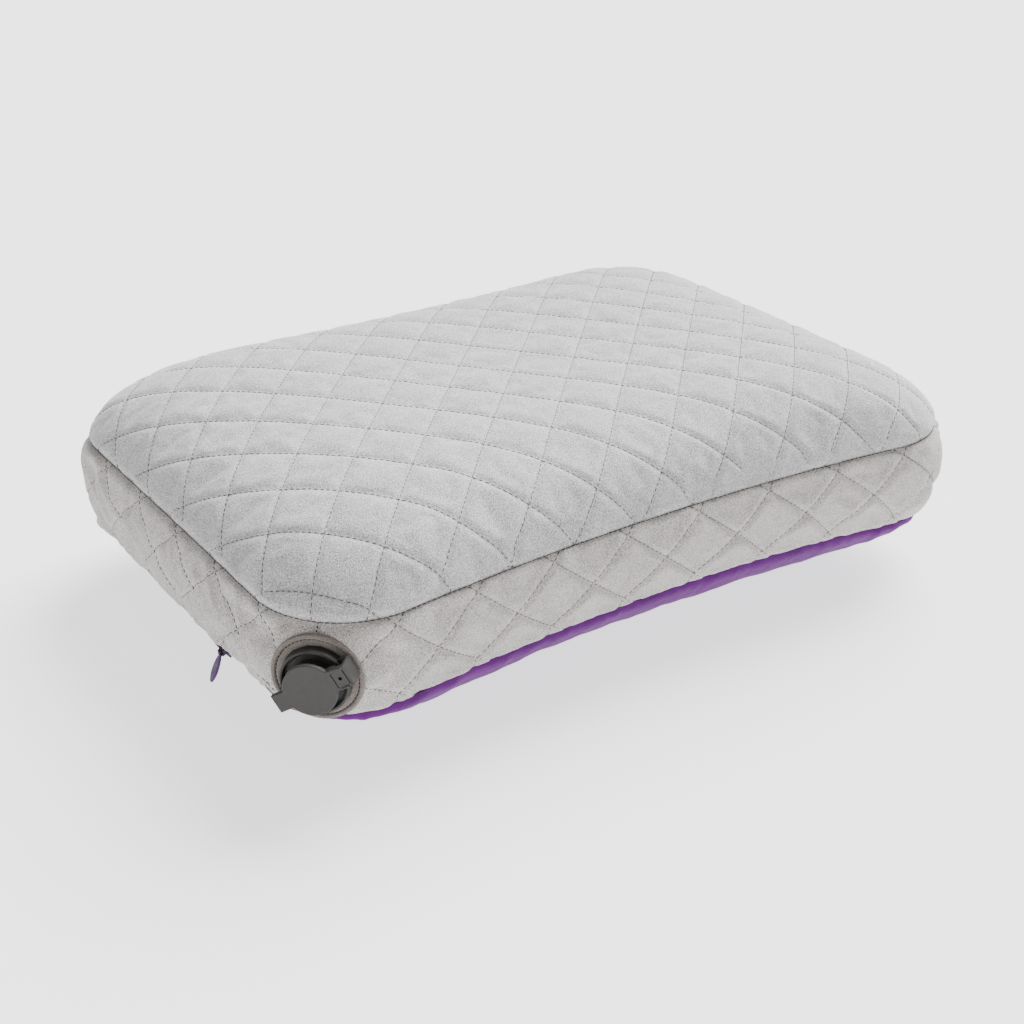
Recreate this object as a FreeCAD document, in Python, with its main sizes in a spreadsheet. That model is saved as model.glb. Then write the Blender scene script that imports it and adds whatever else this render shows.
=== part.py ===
import FreeCAD, Part

# Inflatable air-core travel pillow, as a parametric document in millimetres.
#
# Frame: +X along the long axis, +Y across, +Z up, origin at the centre of the resting face.
# The cover is a crowned top panel, a quilted side band and a nylon bottom panel, with batting
# and lining. Inside lies a welded air core, whose two-stage valve comes out through the corner
# at -X -Y. A zipper runs along the bottom seam of the -X side.

import math
import os

import Sketcher

App = FreeCAD
Vector = App.Vector

SIZES = {
    # outline at the top seam
    "half_length": 186.5,
    "half_width": 129.5,
    "corner_radius": 43.5,
    "waist_depth": 7.7,
    # heights of the two seams, and of the crowns above and below them
    "bottom_seam_height": 31.0,
    "top_seam_height": 74.0,
    "crown_height": 36.0,
    "side_bulge": 4.9,
    "bottom_inset": 3.1,
    # how much rounder the inner rings of a crown are than its seam
    "ring_rounding": 0.9,
    # layers of the cover
    "face_fabric": 1.6,
    "bottom_fabric": 1.0,
    "top_batting": 6.4,
    "band_batting": 3.0,
    "lining_fabric": 0.8,
    # air core
    "core_clearance": 2.2,
    "core_film": 0.8,
    "core_weld_width": 2.0,
    "core_weld_height": 52.0,
    "baffle_thickness": 0.8,
    "baffle_length": 210.0,
    "baffle_spacing": 58.0,
    # valve
    "valve_height": 50.8,
    "valve_direction": 225.0,
    "patch_radius": 19.6,
    "patch_thickness": 1.0,
    "neck_radius": 14.5,
    "neck_clearance": 0.2,
    "neck_bore": 13.3,
    "seat_bore": 11.6,
    "seat_height": 1.5,
    "lip_height": 5.1,
    "neck_depth": 12.0,
    "weld_radius": 20.0,
    "weld_thickness": 0.9,
    "weld_gap": 0.1,
    "cover_bore_run": 40.0,
    "core_bore_run": 60.0,
    "plug_top_radius": 11.3,
    "plug_end_radius": 9.6,
    "plug_depth": 3.0,
    "plug_flange_radius": 12.2,
    "plug_flange": 1.2,
    "tube_radius": 9.6,
    "tube_bore": 8.2,
    "tube_top": 8.7,
    "flap_seat_radius": 6.2,
    "flap_radius": 7.4,
    "flap_thickness": 0.8,
    "flap_stem": 0.8,
    "flap_bulb": 1.4,
    "hub_radius": 2.2,
    "hub_bore": 0.9,
    "spoke_width": 1.4,
    "cap_radius": 11.4,
    "cap_bottom": 8.9,
    "cap_thickness": 2.0,
    "cap_plug_radius": 7.9,
    "cap_plug_end": 7.5,
    "cap_plug_bore": 6.4,
    "cap_plug_depth": 3.2,
    "strap_width": 9.4,
    "tab_width": 8.2,
    "tab_reach": 16.6,
    "cap_hinge_reach": 12.0,
    "stage_hinge_reach": 17.6,
    "strap_reach": 19.0,
    "hinge_gap": 0.4,
    "moulding_round": 0.4,
    "moulding_lap": 0.5,
    "cap_round": 0.35,
    "post_foot": 2.0,
    "post_thickness": 1.6,
    "post_chamfer": 0.6,
    "seat_gap": 0.1,
    "link_gap": 0.2,
    "link_drop": 2.0,
    "link_foot": 13.5,
    "link_knee": 15.0,
    "drill_height": 12.0,
    "drill_depth": 8.0,
    "flap_seat_top": -0.3,
    "flap_seat_bottom": -1.5,
    "flap_top": -1.6,
    "flap_taper": 0.3,
    "flap_bulb_height": 1.3,
    "flap_tip_height": 2.4,
    "plug_shoulder": 0.6,
    "strap_hole_radius": 0.8,
    "strap_direction": 30.0,
    # zipper
    "zip_start": -42.0,
    "zip_length": 130.0,
    "zip_x": -181.2,
    "zip_z": 27.4,
    "zip_tilt": 38.0,
    "zip_slot_run": 8.0,
    "tape_margin": 3.0,
    "tape_reach": 3.6,
    "tape_gap": 0.45,
    "tape_thickness": 0.7,
    "tooth_pitch": 2.0,
    "tooth_length": 1.2,
    "tooth_near": 0.4,
    "tooth_far": 1.9,
    "tooth_height": 1.3,
    "stop_length": 1.4,
    "slider_length": 8.0,
    "slider_half": 2.8,
    "slider_plate": 0.9,
    "slider_wall": 0.5,
    "slider_play": 0.2,
    "slider_neck": 0.25,
    "bail_height": 4.0,
    "bail_bar": 0.45,
    "bail_inner": 1.7,
    "bail_outer": 2.9,
    "pull_length": 14.0,
    "pull_width": 4.6,
    "pull_neck": 0.8,
    "pull_belly": 8.2,
    "pull_tip": 1.0,
    "pull_thickness": 1.1,
    "pull_rounding": 0.35,
    "pull_eye": 1.15,
    "pull_eye_overlap": 0.25,
    "pull_eye_bore": 0.72,
    "pull_eye_length": 1.6,
    "pull_lean": 24.0,
}

# rings of a crown, as shares of its outline
CROWN_RINGS = (1.0, 0.99, 0.97, 0.94, 0.90, 0.84, 0.76, 0.66, 0.54, 0.38)
BASE_RINGS = (1.0, 0.985, 0.95, 0.90, 0.83, 0.74, 0.63, 0.507)
BAND_LEVELS = (0.0, 0.25, 0.5, 0.75, 1.0)
CROWN_POWER, CROWN_BLUNTNESS = 5.0, 0.6
BASE_POWER, BASE_BLUNTNESS = 3.0, 0.66

doc = FreeCAD.newDocument("travel_pillow")
sheet = doc.addObject("Spreadsheet::Sheet", "Sizes")
for row, (alias, value) in enumerate(SIZES.items(), start=1):
    sheet.set(f"A{row}", alias)
    sheet.set(f"B{row}", str(value))
    sheet.setAlias(f"B{row}", alias)
doc.recompute()

parts = []


def size(alias):
    """The value of one cell of the sheet."""
    return float(sheet.get(alias))


def cell(alias):
    """The expression that reads one cell of the sheet."""
    return f"Sizes.{alias}"


def keep(obj, name):
    """Label a finished sub-part and list it for export."""
    obj.Label = name
    parts.append(obj)
    return obj


def new_body(name):
    return doc.addObject("PartDesign::Body", name)


def origin_plane(body, role="XY_Plane"):
    return next(f for f in body.Origin.OriginFeatures if f.Role == role)


def new_sketch(body, name, height="0", place=None):
    """A sketch on the body's XY plane, lifted by an expression or set at a placement."""
    sketch = body.newObject("Sketcher::SketchObject", name)
    sketch.AttachmentSupport = [(origin_plane(body), "")]
    sketch.MapMode = "FlatFace"
    if place is not None:
        sketch.AttachmentOffset = place
    else:
        sketch.setExpression("AttachmentOffset.Base.z", height)
    return sketch


# ---------------------------------------------------------------- rings of the soft shells

def ring(share, inset, height):
    """One section of a soft shell: its share of the outline, inset and height expressions."""
    length = f"{share} * ({cell('half_length')} - ({inset}))"
    width = f"{share} * ({cell('half_width')} - ({inset}))"
    rounding = f"{share} * (1 + {cell('ring_rounding')} * {1 - share:.4f})"
    corner = f"{rounding} * ({cell('corner_radius')} - ({inset}))"
    waist = f"{share ** 2:.5f} * {cell('waist_depth')}"
    reach = f"({length} - {corner})"
    hollow = f"({reach}^2 + ({waist})^2) / (2 * {waist}) - {corner}"
    return {"reach": reach, "side": f"{width} - {corner}", "corner": corner,
            "hollow": hollow, "height": height}


def draw_outline(sketch, section):
    """Four corner arcs, two hollow long sides and two straight ends, all tangent."""
    x, y, r, hollow = (float(sketch.evalExpression(section[k]))
                       for k in ("reach", "side", "corner", "hollow"))
    rise = math.sqrt((hollow + r) ** 2 - x * x)
    turn = math.atan2(rise, -x)

    def arc(cx, cy, radius, start, end):
        circle = Part.Circle(Vector(cx, cy, 0), Vector(0, 0, 1), radius)
        return Part.ArcOfCircle(circle, start, end)

    sketch.addGeometry([
        Part.LineSegment(Vector(x + r, -y, 0), Vector(x + r, y, 0)),
        arc(x, y, r, 0, turn),
        arc(0, y + rise, hollow, turn - math.pi, -turn),
        arc(-x, y, r, math.pi - turn, math.pi),
        Part.LineSegment(Vector(-x - r, y, 0), Vector(-x - r, -y, 0)),
        arc(-x, -y, r, math.pi, math.pi + turn),
        arc(0, -y - rise, hollow, math.pi - turn, turn),
        arc(x, -y, r, -turn, 0),
    ], False)
    joints = [(0, 2, 1, 1), (1, 2, 2, 2), (2, 1, 3, 1), (3, 2, 4, 1),
              (4, 2, 5, 1), (5, 2, 6, 2), (6, 1, 7, 1), (7, 2, 0, 1)]
    for joint in joints:
        sketch.addConstraint(Sketcher.Constraint("Tangent", *joint))
    for pair in ((1, 3), (3, 5), (5, 7), (2, 6)):
        sketch.addConstraint(Sketcher.Constraint("Equal", *pair))
    for arc_index, sign_x, sign_y in ((1, 1, 1), (3, -1, 1), (5, -1, -1), (7, 1, -1)):
        across = (-1, 1, arc_index, 3) if sign_x > 0 else (arc_index, 3, -1, 1)
        upward = (-1, 1, arc_index, 3) if sign_y > 0 else (arc_index, 3, -1, 1)
        drive(sketch, f"reach{arc_index}",
              Sketcher.Constraint("DistanceX", *across, x), section["reach"])
        drive(sketch, f"side{arc_index}",
              Sketcher.Constraint("DistanceY", *upward, y), section["side"])
    drive(sketch, "corner", Sketcher.Constraint("Radius", 1, r), section["corner"])
    drive(sketch, "hollow", Sketcher.Constraint("Radius", 2, hollow), section["hollow"])


def drive(sketch, name, constraint, expression):
    """Add one dimension to a sketch and bind it to an expression."""
    index = sketch.addConstraint(constraint)
    sketch.renameConstraint(index, name)
    sketch.setExpression(f"Constraints.{name}", expression)


def loft(body, sections, kind="Additive", ruled=True):
    """A solid through the rings, added to or taken from the body."""
    sketches = []
    for section in sections:
        sketch = new_sketch(body, "ring", height=section["height"])
        draw_outline(sketch, section)
        sketches.append(sketch)
    feature = body.newObject(f"PartDesign::{kind}Loft", "loft")
    feature.Profile = sketches[0]
    feature.Sections = [(s, [""]) for s in sketches[1:]]
    feature.Ruled = ruled
    return feature


def bluntness(share, power, blunt):
    """Rise of a crown over its seam, from 0 at the seam to 1 at the middle."""
    return (1 - share ** power) ** blunt


def crown(inset, seam=None, height=None, outline=None):
    """Rings of the upper crown, `inset` inside the outer surface."""
    seam = seam or cell("top_seam_height")
    height = height or f"({cell('crown_height')} - ({inset}))"
    return [ring(s, outline or inset,
                 f"{seam} + {bluntness(s, CROWN_POWER, CROWN_BLUNTNESS):.5f} * {height}")
            for s in CROWN_RINGS]


def base(inset, seam=None, depth=None, outline=None):
    """Rings of the lower crown, down to the flat patch that it rests on."""
    seam = seam or cell("bottom_seam_height")
    depth = depth or f"({cell('bottom_seam_height')} - ({inset}))"
    outline = outline or f"{cell('bottom_inset')} + {inset}"
    full = bluntness(BASE_RINGS[-1], BASE_POWER, BASE_BLUNTNESS)
    return [ring(s, outline,
                 f"{seam} - {bluntness(s, BASE_POWER, BASE_BLUNTNESS) / full:.5f} * {depth}")
            for s in BASE_RINGS]


def band(inset):
    """Rings of the side band, from the bottom seam to the top one."""
    rise = f"({cell('top_seam_height')} - {cell('bottom_seam_height')})"
    return [ring(1.0,
                 f"{inset} - {4 * u * (1 - u):.4f} * {cell('side_bulge')}"
                 f" + {1 - u:.4f} * {cell('bottom_inset')}",
                 f"{cell('bottom_seam_height')} + {u} * {rise}")
            for u in BAND_LEVELS]


def soft_shell(name, rings, outer, inner):
    """A shell between two nested surfaces of the same family."""
    body = new_body(name)
    ruled = rings is not band
    loft(body, rings(outer), ruled=ruled)
    loft(body, rings(inner), "Subtractive", ruled)
    return body


def bore(body, radius, place, run):
    """A round pocket through the body, both ways from a placed sketch."""
    doc.recompute()
    sketch = new_sketch(body, "bore", place=place)
    sketch.addGeometry(Part.Circle(Vector(0, 0, 0), Vector(0, 0, 1), size("neck_radius")), False)
    sketch.addConstraint(Sketcher.Constraint("Coincident", 0, 3, -1, 1))
    drive(sketch, "radius", Sketcher.Constraint("Radius", 0, size("neck_radius")), radius)
    pocket = body.newObject("PartDesign::Pocket", "bore_cut")
    pocket.Profile = sketch
    pocket.Midplane = True
    pocket.setExpression("Length", cell(run))
    return pocket


# ---------------------------------------------------------------- placements

def valve_placement():
    """Valve frame: Z out of the pillow, X along the cap's strap, origin on the band."""
    angle = math.radians(size("valve_direction"))
    outward = Vector(math.cos(angle), math.sin(angle), 0)
    right = Vector(0, 0, 1).cross(outward)
    up = Vector(0, 0, 1)
    strap = math.radians(size("strap_direction"))
    along = right * math.cos(strap) + up * math.sin(strap)
    corner = Vector(size("corner_radius") - size("half_length"),
                    size("corner_radius") - size("half_width"), 0)
    level = ((size("valve_height") - size("bottom_seam_height"))
             / (size("top_seam_height") - size("bottom_seam_height")))
    swell = 4 * level * (1 - level) * size("side_bulge") - (1 - level) * size("bottom_inset")
    origin = corner + outward * (size("corner_radius") + swell)
    origin.z = size("valve_height")
    return App.Placement(origin, App.Rotation(along, outward.cross(along), outward, "ZXY"))


def zipper_placement():
    """Zipper frame: X along the teeth (+Y of the pillow), Z out of the pillow."""
    tilt = math.radians(size("zip_tilt"))
    outward = Vector(-math.cos(tilt), 0, -math.sin(tilt))
    along = Vector(0, 1, 0)
    origin = Vector(size("zip_x"), size("zip_start"), size("zip_z"))
    return App.Placement(origin, App.Rotation(along, outward.cross(along), outward, "ZXY"))


VALVE = valve_placement()
ZIPPER = zipper_placement()


# ---------------------------------------------------------------- drawing helpers

def draw_polygon(sketch, points):
    """A closed polygon whose corners are each bound to a pair of expressions."""
    spots = [Vector(*(float(sketch.evalExpression(e)) for e in point), 0) for point in points]
    count = len(spots)
    edges = [Part.LineSegment(spots[i], spots[(i + 1) % count]) for i in range(count)]
    sketch.addGeometry(edges, False)
    for i in range(count):
        sketch.addConstraint(Sketcher.Constraint("Coincident", i, 2, (i + 1) % count, 1))
    for i, (point, spot) in enumerate(zip(points, spots)):
        for kind, axis, value in (("DistanceX", "x", spot.x), ("DistanceY", "y", spot.y)):
            expression = point[0] if axis == "x" else point[1]
            if abs(value) < 1e-9:
                line = -2 if axis == "x" else -1
                sketch.addConstraint(Sketcher.Constraint("PointOnObject", i, 1, line))
            elif value > 0:
                drive(sketch, f"{axis}{i}", Sketcher.Constraint(kind, -1, 1, i, 1, value),
                      expression)
            else:
                drive(sketch, f"{axis}{i}", Sketcher.Constraint(kind, i, 1, -1, 1, -value),
                      f"-({expression})")


def cells(text):
    """Expression text in which every {alias} reads its cell."""
    return text.replace("{", "Sizes.").replace("}", "")


def profile(*points):
    """Points given as pairs of expression texts with {alias} cells."""
    return [(cells(x), cells(y)) for x, y in points]


def side_place(shift=0.0):
    """A sketch plane through the local X and Z axes, moved along local -Y by `shift`."""
    return App.Placement(Vector(0, -shift, 0), App.Rotation(Vector(1, 0, 0), 90))


# a sketch plane through the local Y and Z axes
END_PLACE = App.Placement(Vector(), App.Rotation(Vector(1, 1, 1), 120))


def revolve(body, points, kind="Revolution"):
    """A turned shape about the body's Z axis, from (radius, height) expressions."""
    sketch = new_sketch(body, "turned", place=side_place())
    draw_polygon(sketch, profile(*points))
    feature = body.newObject(f"PartDesign::{kind}", "turn")
    feature.Profile = sketch
    feature.ReferenceAxis = (sketch, ["V_Axis"])
    feature.Angle = 360
    return feature


def side_pad(body, points, width, kind="Pad"):
    """A pad of a profile in the local XZ plane, as wide as `width`, centred on it."""
    sketch = new_sketch(body, "side", place=side_place())
    draw_polygon(sketch, profile(*points))
    feature = body.newObject(f"PartDesign::{kind}", "side_run")
    feature.Profile = sketch
    feature.Midplane = True
    feature.setExpression("Length", cells(width))
    return feature


def end_pad(body, points, width):
    """A pad of a profile in the local YZ plane, centred on it."""
    sketch = new_sketch(body, "end", place=END_PLACE)
    draw_polygon(sketch, profile(*points))
    feature = body.newObject("PartDesign::Pad", "end_run")
    feature.Profile = sketch
    feature.Midplane = True
    feature.setExpression("Length", cells(width))
    return feature


def disc(body, radius, low, height, kind="Pad"):
    """A round pad or pocket on the body's Z axis, from `low` upwards."""
    sketch = new_sketch(body, "disc", height=cells(low))
    start = float(sketch.evalExpression(cells(radius)))
    sketch.addGeometry(Part.Circle(Vector(0, 0, 0), Vector(0, 0, 1), start), False)
    sketch.addConstraint(Sketcher.Constraint("Coincident", 0, 3, -1, 1))
    drive(sketch, "radius", Sketcher.Constraint("Radius", 0, start), cells(radius))
    feature = body.newObject(f"PartDesign::{kind}", "disc_run")
    feature.Profile = sketch
    if kind == "Pocket":
        feature.Reversed = True
    feature.setExpression("Length", cells(height))
    return feature


def soften(body, radius, pick):
    """Fillet the edges of the body's last feature that `pick` accepts."""
    doc.recompute()
    tip = body.Tip
    names = [f"Edge{i}" for i, edge in enumerate(tip.Shape.Edges, start=1) if pick(edge)]
    if not names:
        raise RuntimeError(f"no edge to fillet on {body.Name}")
    fillet = body.newObject("PartDesign::Fillet", "soften")
    fillet.Base = (tip, names)
    fillet.Radius = radius
    return fillet


def at_height(edge, height, slack=0.01):
    """True where an edge lies in the body's plane Z = height."""
    box = edge.BoundBox
    return abs(box.ZMin - height) < slack and abs(box.ZMax - height) < slack


# ---------------------------------------------------------------- cover

NECK_HOLE = "Sizes.neck_radius + Sizes.neck_clearance"
FACE = cell("face_fabric")
TOP_FILLED = cells("{face_fabric} + {top_batting}")
TOP_LINED = cells("{face_fabric} + {top_batting} + {lining_fabric}")
BAND_FILLED = cells("{face_fabric} + {band_batting}")
BAND_LINED = cells("{face_fabric} + {band_batting} + {lining_fabric}")


def make_cover():
    """Top, side and bottom panels, each layer a shell of its own."""
    keep(soft_shell("top_panel", crown, "0", FACE), "top_panel")
    keep(soft_shell("top_fill", crown, FACE, TOP_FILLED), "top_fill")
    keep(soft_shell("top_lining", crown, TOP_FILLED, TOP_LINED), "top_lining")
    for name, outer, inner in (("side_band", "0", FACE),
                               ("band_fill", FACE, BAND_FILLED),
                               ("band_lining", BAND_FILLED, BAND_LINED)):
        layer = soft_shell(name, band, outer, inner)
        bore(layer, NECK_HOLE, VALVE, "cover_bore_run")
        keep(layer, name)
    panel = soft_shell("bottom_panel", base, "0", cell("bottom_fabric"))
    doc.recompute()
    slot = new_sketch(panel, "zip_slot", place=ZIPPER)
    draw_polygon(slot, profile(
        ("-0.5 * {slider_length} - {tape_margin}", "-2 * {tape_reach}"),
        ("{zip_length} + {tape_margin}", "-2 * {tape_reach}"),
        ("{zip_length} + {tape_margin}", "{tape_reach} + {seat_gap}"),
        ("-0.5 * {slider_length} - {tape_margin}", "{tape_reach} + {seat_gap}")))
    cut = panel.newObject("PartDesign::Pocket", "zip_slot_cut")
    cut.Profile = slot
    cut.Midplane = True
    cut.setExpression("Length", cell("zip_slot_run"))
    keep(panel, "bottom_panel")


# ---------------------------------------------------------------- air core

CORE_INSET = cells("{face_fabric} + {band_batting} + {lining_fabric} + {core_clearance}")
CORE_RISE = cells("{top_seam_height} + {crown_height} - {core_weld_height}"
                  " - ({face_fabric} + {top_batting} + {lining_fabric} + {core_clearance})")
CORE_DROP = cells("{core_weld_height} - {bottom_fabric} - {core_clearance}")


def core_rings(rings, inset):
    """Rings of one half of the air core, `inset` inside its outer film surface."""
    reach = CORE_RISE if rings is crown else CORE_DROP
    return rings(inset, cell("core_weld_height"), f"({reach} - ({inset}))",
                 f"{CORE_INSET} + {inset}")


def core_half(name, rings, upward):
    """One formed film with its weld rim, open where the valve's weld ring sits."""
    body = new_body(name)
    loft(body, core_rings(rings, "0"))
    rim = new_sketch(body, "rim", height=cell("core_weld_height"))
    draw_outline(rim, ring(1.0, f"{CORE_INSET} - {cell('core_weld_width')}", "0"))
    flange = body.newObject("PartDesign::Pad", "weld_rim")
    flange.Profile = rim
    flange.Reversed = not upward
    flange.setExpression("Length", cell("core_film"))
    loft(body, core_rings(rings, cell("core_film")), "Subtractive")
    bore(body, cell("weld_radius"), VALVE, "core_bore_run")
    return keep(body, name)


def solid_core(name, inset):
    """A closed body filled out to `inset` inside the film's outer surface."""
    body = new_body(name)
    loft(body, core_rings(crown, inset))
    loft(body, core_rings(base, inset))
    return body


def make_core():
    """Upper and lower films, inner webs and the valve's weld ring."""
    core_half("air_core_upper", crown, True)
    core_half("air_core_lower", base, False)

    webs = []
    for step in (-1, 0, 1):
        web = doc.addObject("Part::Box", "web")
        web.setExpression("Length", cell("baffle_length"))
        web.setExpression("Width", cell("baffle_thickness"))
        web.setExpression("Height", cells("{top_seam_height} + {crown_height}"))
        web.setExpression("Placement.Base.x", cells("-0.5 * {baffle_length}"))
        web.setExpression("Placement.Base.y",
                          cells(f"{step} * {{baffle_spacing}} - 0.5 * {{baffle_thickness}}"))
        webs.append(web)
    rack = doc.addObject("Part::Compound", "web_rack")
    rack.Links = webs
    baffles = doc.addObject("Part::Common", "air_core_baffles")
    baffles.Base = solid_core("core_room", cells("{core_film} + {weld_gap}"))
    baffles.Tool = rack
    keep(baffles, "air_core_baffles")

    wall = doc.addObject("Part::Cut", "weld_wall")
    wall.Base = solid_core("core_skin", "0")
    wall.Tool = solid_core("core_hollow", cell("weld_thickness"))
    keep(valve_annulus("valve_weld_ring", wall, cells("{weld_radius} - {weld_gap}"),
                       "-0.4 * {core_bore_run}"), "valve_weld_ring")


def valve_annulus(name, layer, radius, low):
    """The ring of a soft layer around the valve's neck, from depth `low` out."""
    washer = doc.addObject("Part::Cylinder", "washer")
    washer.setExpression("Radius", radius)
    neck = doc.addObject("Part::Cylinder", "neck")
    neck.setExpression("Radius", NECK_HOLE)
    start = Vector(0, 0, float(sheet.evalExpression(cells(low))))
    for cylinder in (washer, neck):
        cylinder.setExpression("Height", cells("0.5 * {core_bore_run}"))
        cylinder.Placement = VALVE.multiply(App.Placement(start, App.Rotation()))
    washer_cut = doc.addObject("Part::Cut", "washer_ring")
    washer_cut.Base = washer
    washer_cut.Tool = neck
    piece = doc.addObject("Part::Common", name)
    piece.Base = layer
    piece.Tool = washer_cut
    return piece


# ---------------------------------------------------------------- valve

STRAP = "{strap_width}"
CAP_TOP = "{cap_bottom} + {cap_thickness}"


def valve_body(name):
    body = new_body(name)
    body.Placement = VALVE
    return body


def make_valve():
    """Patch, neck, hinged deflation stage, check flap and hinged cap."""
    sleeve = soft_shell("patch_layer", band, cells("-{patch_thickness}"), "0")
    keep(valve_annulus("valve_patch", sleeve, cell("patch_radius"), "-0.4 * {cover_bore_run}"),
         "valve_patch")
    make_neck()
    make_stage()
    make_flap()
    make_cap()


def make_neck():
    """Neck with a lip, an inner seat and the post that the deflation stage hinges on."""
    body = valve_body("valve_base")
    revolve(body, [("{seat_bore}", "-{neck_depth}"), ("{neck_radius}", "-{neck_depth}"),
                   ("{neck_radius}", "{lip_height}"), ("{neck_bore}", "{lip_height}"),
                   ("{neck_bore}", "{seat_height}"), ("{seat_bore}", "{seat_height}")])
    soften(body, size("moulding_round"), lambda edge: at_height(edge, size("lip_height")))
    root, post = "{neck_radius} - {moulding_lap}", "{stage_hinge_reach} + 0.5 * {hinge_gap}"
    side_pad(body, [(root, "{post_foot}"), ("{strap_reach} - {post_chamfer}", "{post_foot}"),
                    ("{strap_reach}", "{post_foot} + {post_chamfer}"), ("{strap_reach}", CAP_TOP),
                    (post, CAP_TOP), (post, "{post_foot} + {post_thickness}"),
                    (root, "{post_foot} + {post_thickness}")], STRAP)
    keep(body, "valve_base")


def make_stage():
    """Tapered deflation plug with the inflation tube, flap seat, spider and link."""
    body = valve_body("valve_stage")
    flange = "{seat_height} + {seat_gap}"
    revolve(body, [("{tube_bore}", "-{plug_depth}"), ("{plug_end_radius}", "-{plug_depth}"),
                   ("{plug_top_radius}", flange), ("{plug_flange_radius}", flange),
                   ("{plug_flange_radius}", f"{flange} + {{plug_flange}}"),
                   ("{tube_radius}", f"{flange} + {{plug_flange}}"),
                   ("{tube_radius}", "{tube_top}"), ("{tube_bore}", "{tube_top}"),
                   ("{tube_bore}", "{flap_seat_top}"), ("{flap_seat_radius}", "{flap_seat_top}"),
                   ("{flap_seat_radius}", "{flap_seat_bottom}"),
                   ("{tube_bore}", "{flap_seat_bottom}")])
    root, drop = "{tube_radius} - {moulding_lap}", "{cap_bottom} - {link_drop}"
    outer = "{stage_hinge_reach} - 0.5 * {hinge_gap}"
    inner = "{cap_hinge_reach} + 0.5 * {hinge_gap}"
    side_pad(body, [(root, drop), ("{link_foot}", drop), ("{link_knee}", "{cap_bottom}"),
                    (outer, "{cap_bottom}"), (outer, CAP_TOP), (inner, CAP_TOP),
                    (inner, "{cap_bottom} - {link_gap}"), (root, "{cap_bottom} - {link_gap}")],
             STRAP)
    drill_link(body)
    add_spider(body)
    keep(body, "valve_stage")


def drill_link(body):
    """The small hole through the link between the two hinges."""
    doc.recompute()
    reach = 0.5 * (size("cap_hinge_reach") + size("stage_hinge_reach"))
    hole = new_sketch(body, "link_hole", height=cell("drill_height"))
    hole.addGeometry(Part.Circle(Vector(reach, 0, 0), Vector(0, 0, 1),
                                 size("strap_hole_radius")), False)
    hole.addConstraint(Sketcher.Constraint("PointOnObject", 0, 3, -1))
    drive(hole, "reach", Sketcher.Constraint("DistanceX", -1, 1, 0, 3, reach),
          cells("0.5 * ({cap_hinge_reach} + {stage_hinge_reach})"))
    drive(hole, "radius", Sketcher.Constraint("Radius", 0, size("strap_hole_radius")),
          cell("strap_hole_radius"))
    drill = body.newObject("PartDesign::Pocket", "link_drill")
    drill.Profile = hole
    drill.setExpression("Length", cell("drill_depth"))


def add_spider(body):
    """Three spokes and a bored hub that hold the flap's stem."""
    start, end = "{hub_bore} + {moulding_lap}", "{flap_seat_radius} + {moulding_lap}"
    half, height = "0.5 * {spoke_width}", "{flap_seat_top} - {flap_seat_bottom}"
    spoke = new_sketch(body, "spoke", height=cell("flap_seat_bottom"))
    draw_polygon(spoke, profile((start, f"-{half}"), (end, f"-{half}"), (end, half), (start, half)))
    arm = body.newObject("PartDesign::Pad", "spoke_run")
    arm.Profile = spoke
    arm.setExpression("Length", cells(height))
    doc.recompute()
    fan = body.newObject("PartDesign::PolarPattern", "spokes")
    fan.Originals = [arm]
    fan.Axis = (spoke, ["N_Axis"])
    fan.Angle = 360
    fan.Occurrences = 3
    body.Tip = fan
    doc.recompute()
    disc(body, "{hub_radius}", "{flap_seat_bottom}", height)
    disc(body, "{hub_bore}", "{flap_seat_bottom} - {moulding_lap}",
         f"{height} + 2 * {{moulding_lap}}", "Pocket")


def make_flap():
    """Mushroom check flap: disc under the seat, stem through the hub, bulb above it."""
    body = valve_body("check_flap")
    rim = "{flap_top} - {flap_thickness}"
    revolve(body, [("0", rim), ("{flap_radius} - {flap_taper}", rim),
                   ("{flap_radius}", "{flap_top}"), ("{flap_stem}", "{flap_top}"),
                   ("{flap_stem}", "{flap_bulb_height}"), ("{flap_bulb}", "{flap_bulb_height}"),
                   ("0.5 * {flap_bulb}", "{flap_tip_height}"), ("0", "{flap_tip_height}")])
    keep(body, "check_flap")


def make_cap():
    """Cap plate with a pull tab, a root for the hinge and a hollow plug below."""
    body = valve_body("valve_cap")
    disc(body, "{cap_radius}", "{cap_bottom}", "{cap_thickness}")
    hinge = "{cap_hinge_reach} - 0.5 * {hinge_gap}"
    side_pad(body, [("-{tab_reach}", "{cap_bottom}"), ("0", "{cap_bottom}"), ("0", CAP_TOP),
                    ("-{tab_reach}", CAP_TOP)], "{tab_width}")
    side_pad(body, [("0", "{cap_bottom}"), (hinge, "{cap_bottom}"), (hinge, CAP_TOP),
                    ("0", CAP_TOP)], STRAP)
    end, lap = "{cap_bottom} - {cap_plug_depth}", "{cap_bottom} + {seat_gap}"
    revolve(body, [("{cap_plug_bore}", end), ("{cap_plug_end}", end),
                   ("{cap_plug_radius}", "{cap_bottom} - {plug_shoulder}"),
                   ("{cap_plug_radius}", lap), ("{cap_plug_bore}", lap)])
    top, reach = size("cap_bottom") + size("cap_thickness"), size("cap_hinge_reach")
    soften(body, size("cap_round"),
           lambda edge: at_height(edge, top) and edge.BoundBox.XMax < reach - size("hinge_gap"))
    keep(body, "valve_cap")


# ---------------------------------------------------------------- zipper

def zip_block(x, y, z, length, width, height):
    """A box in the zipper frame, from expressions for its low corner and its sizes."""
    block = doc.addObject("Part::Box", "zip_block")
    block.setExpression("Length", cells(length))
    block.setExpression("Width", cells(width))
    block.setExpression("Height", cells(height))
    corner = Vector(*(float(sheet.evalExpression(cells(e))) for e in (x, y, z)))
    block.Placement = ZIPPER.multiply(App.Placement(corner, App.Rotation()))
    return block


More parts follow.
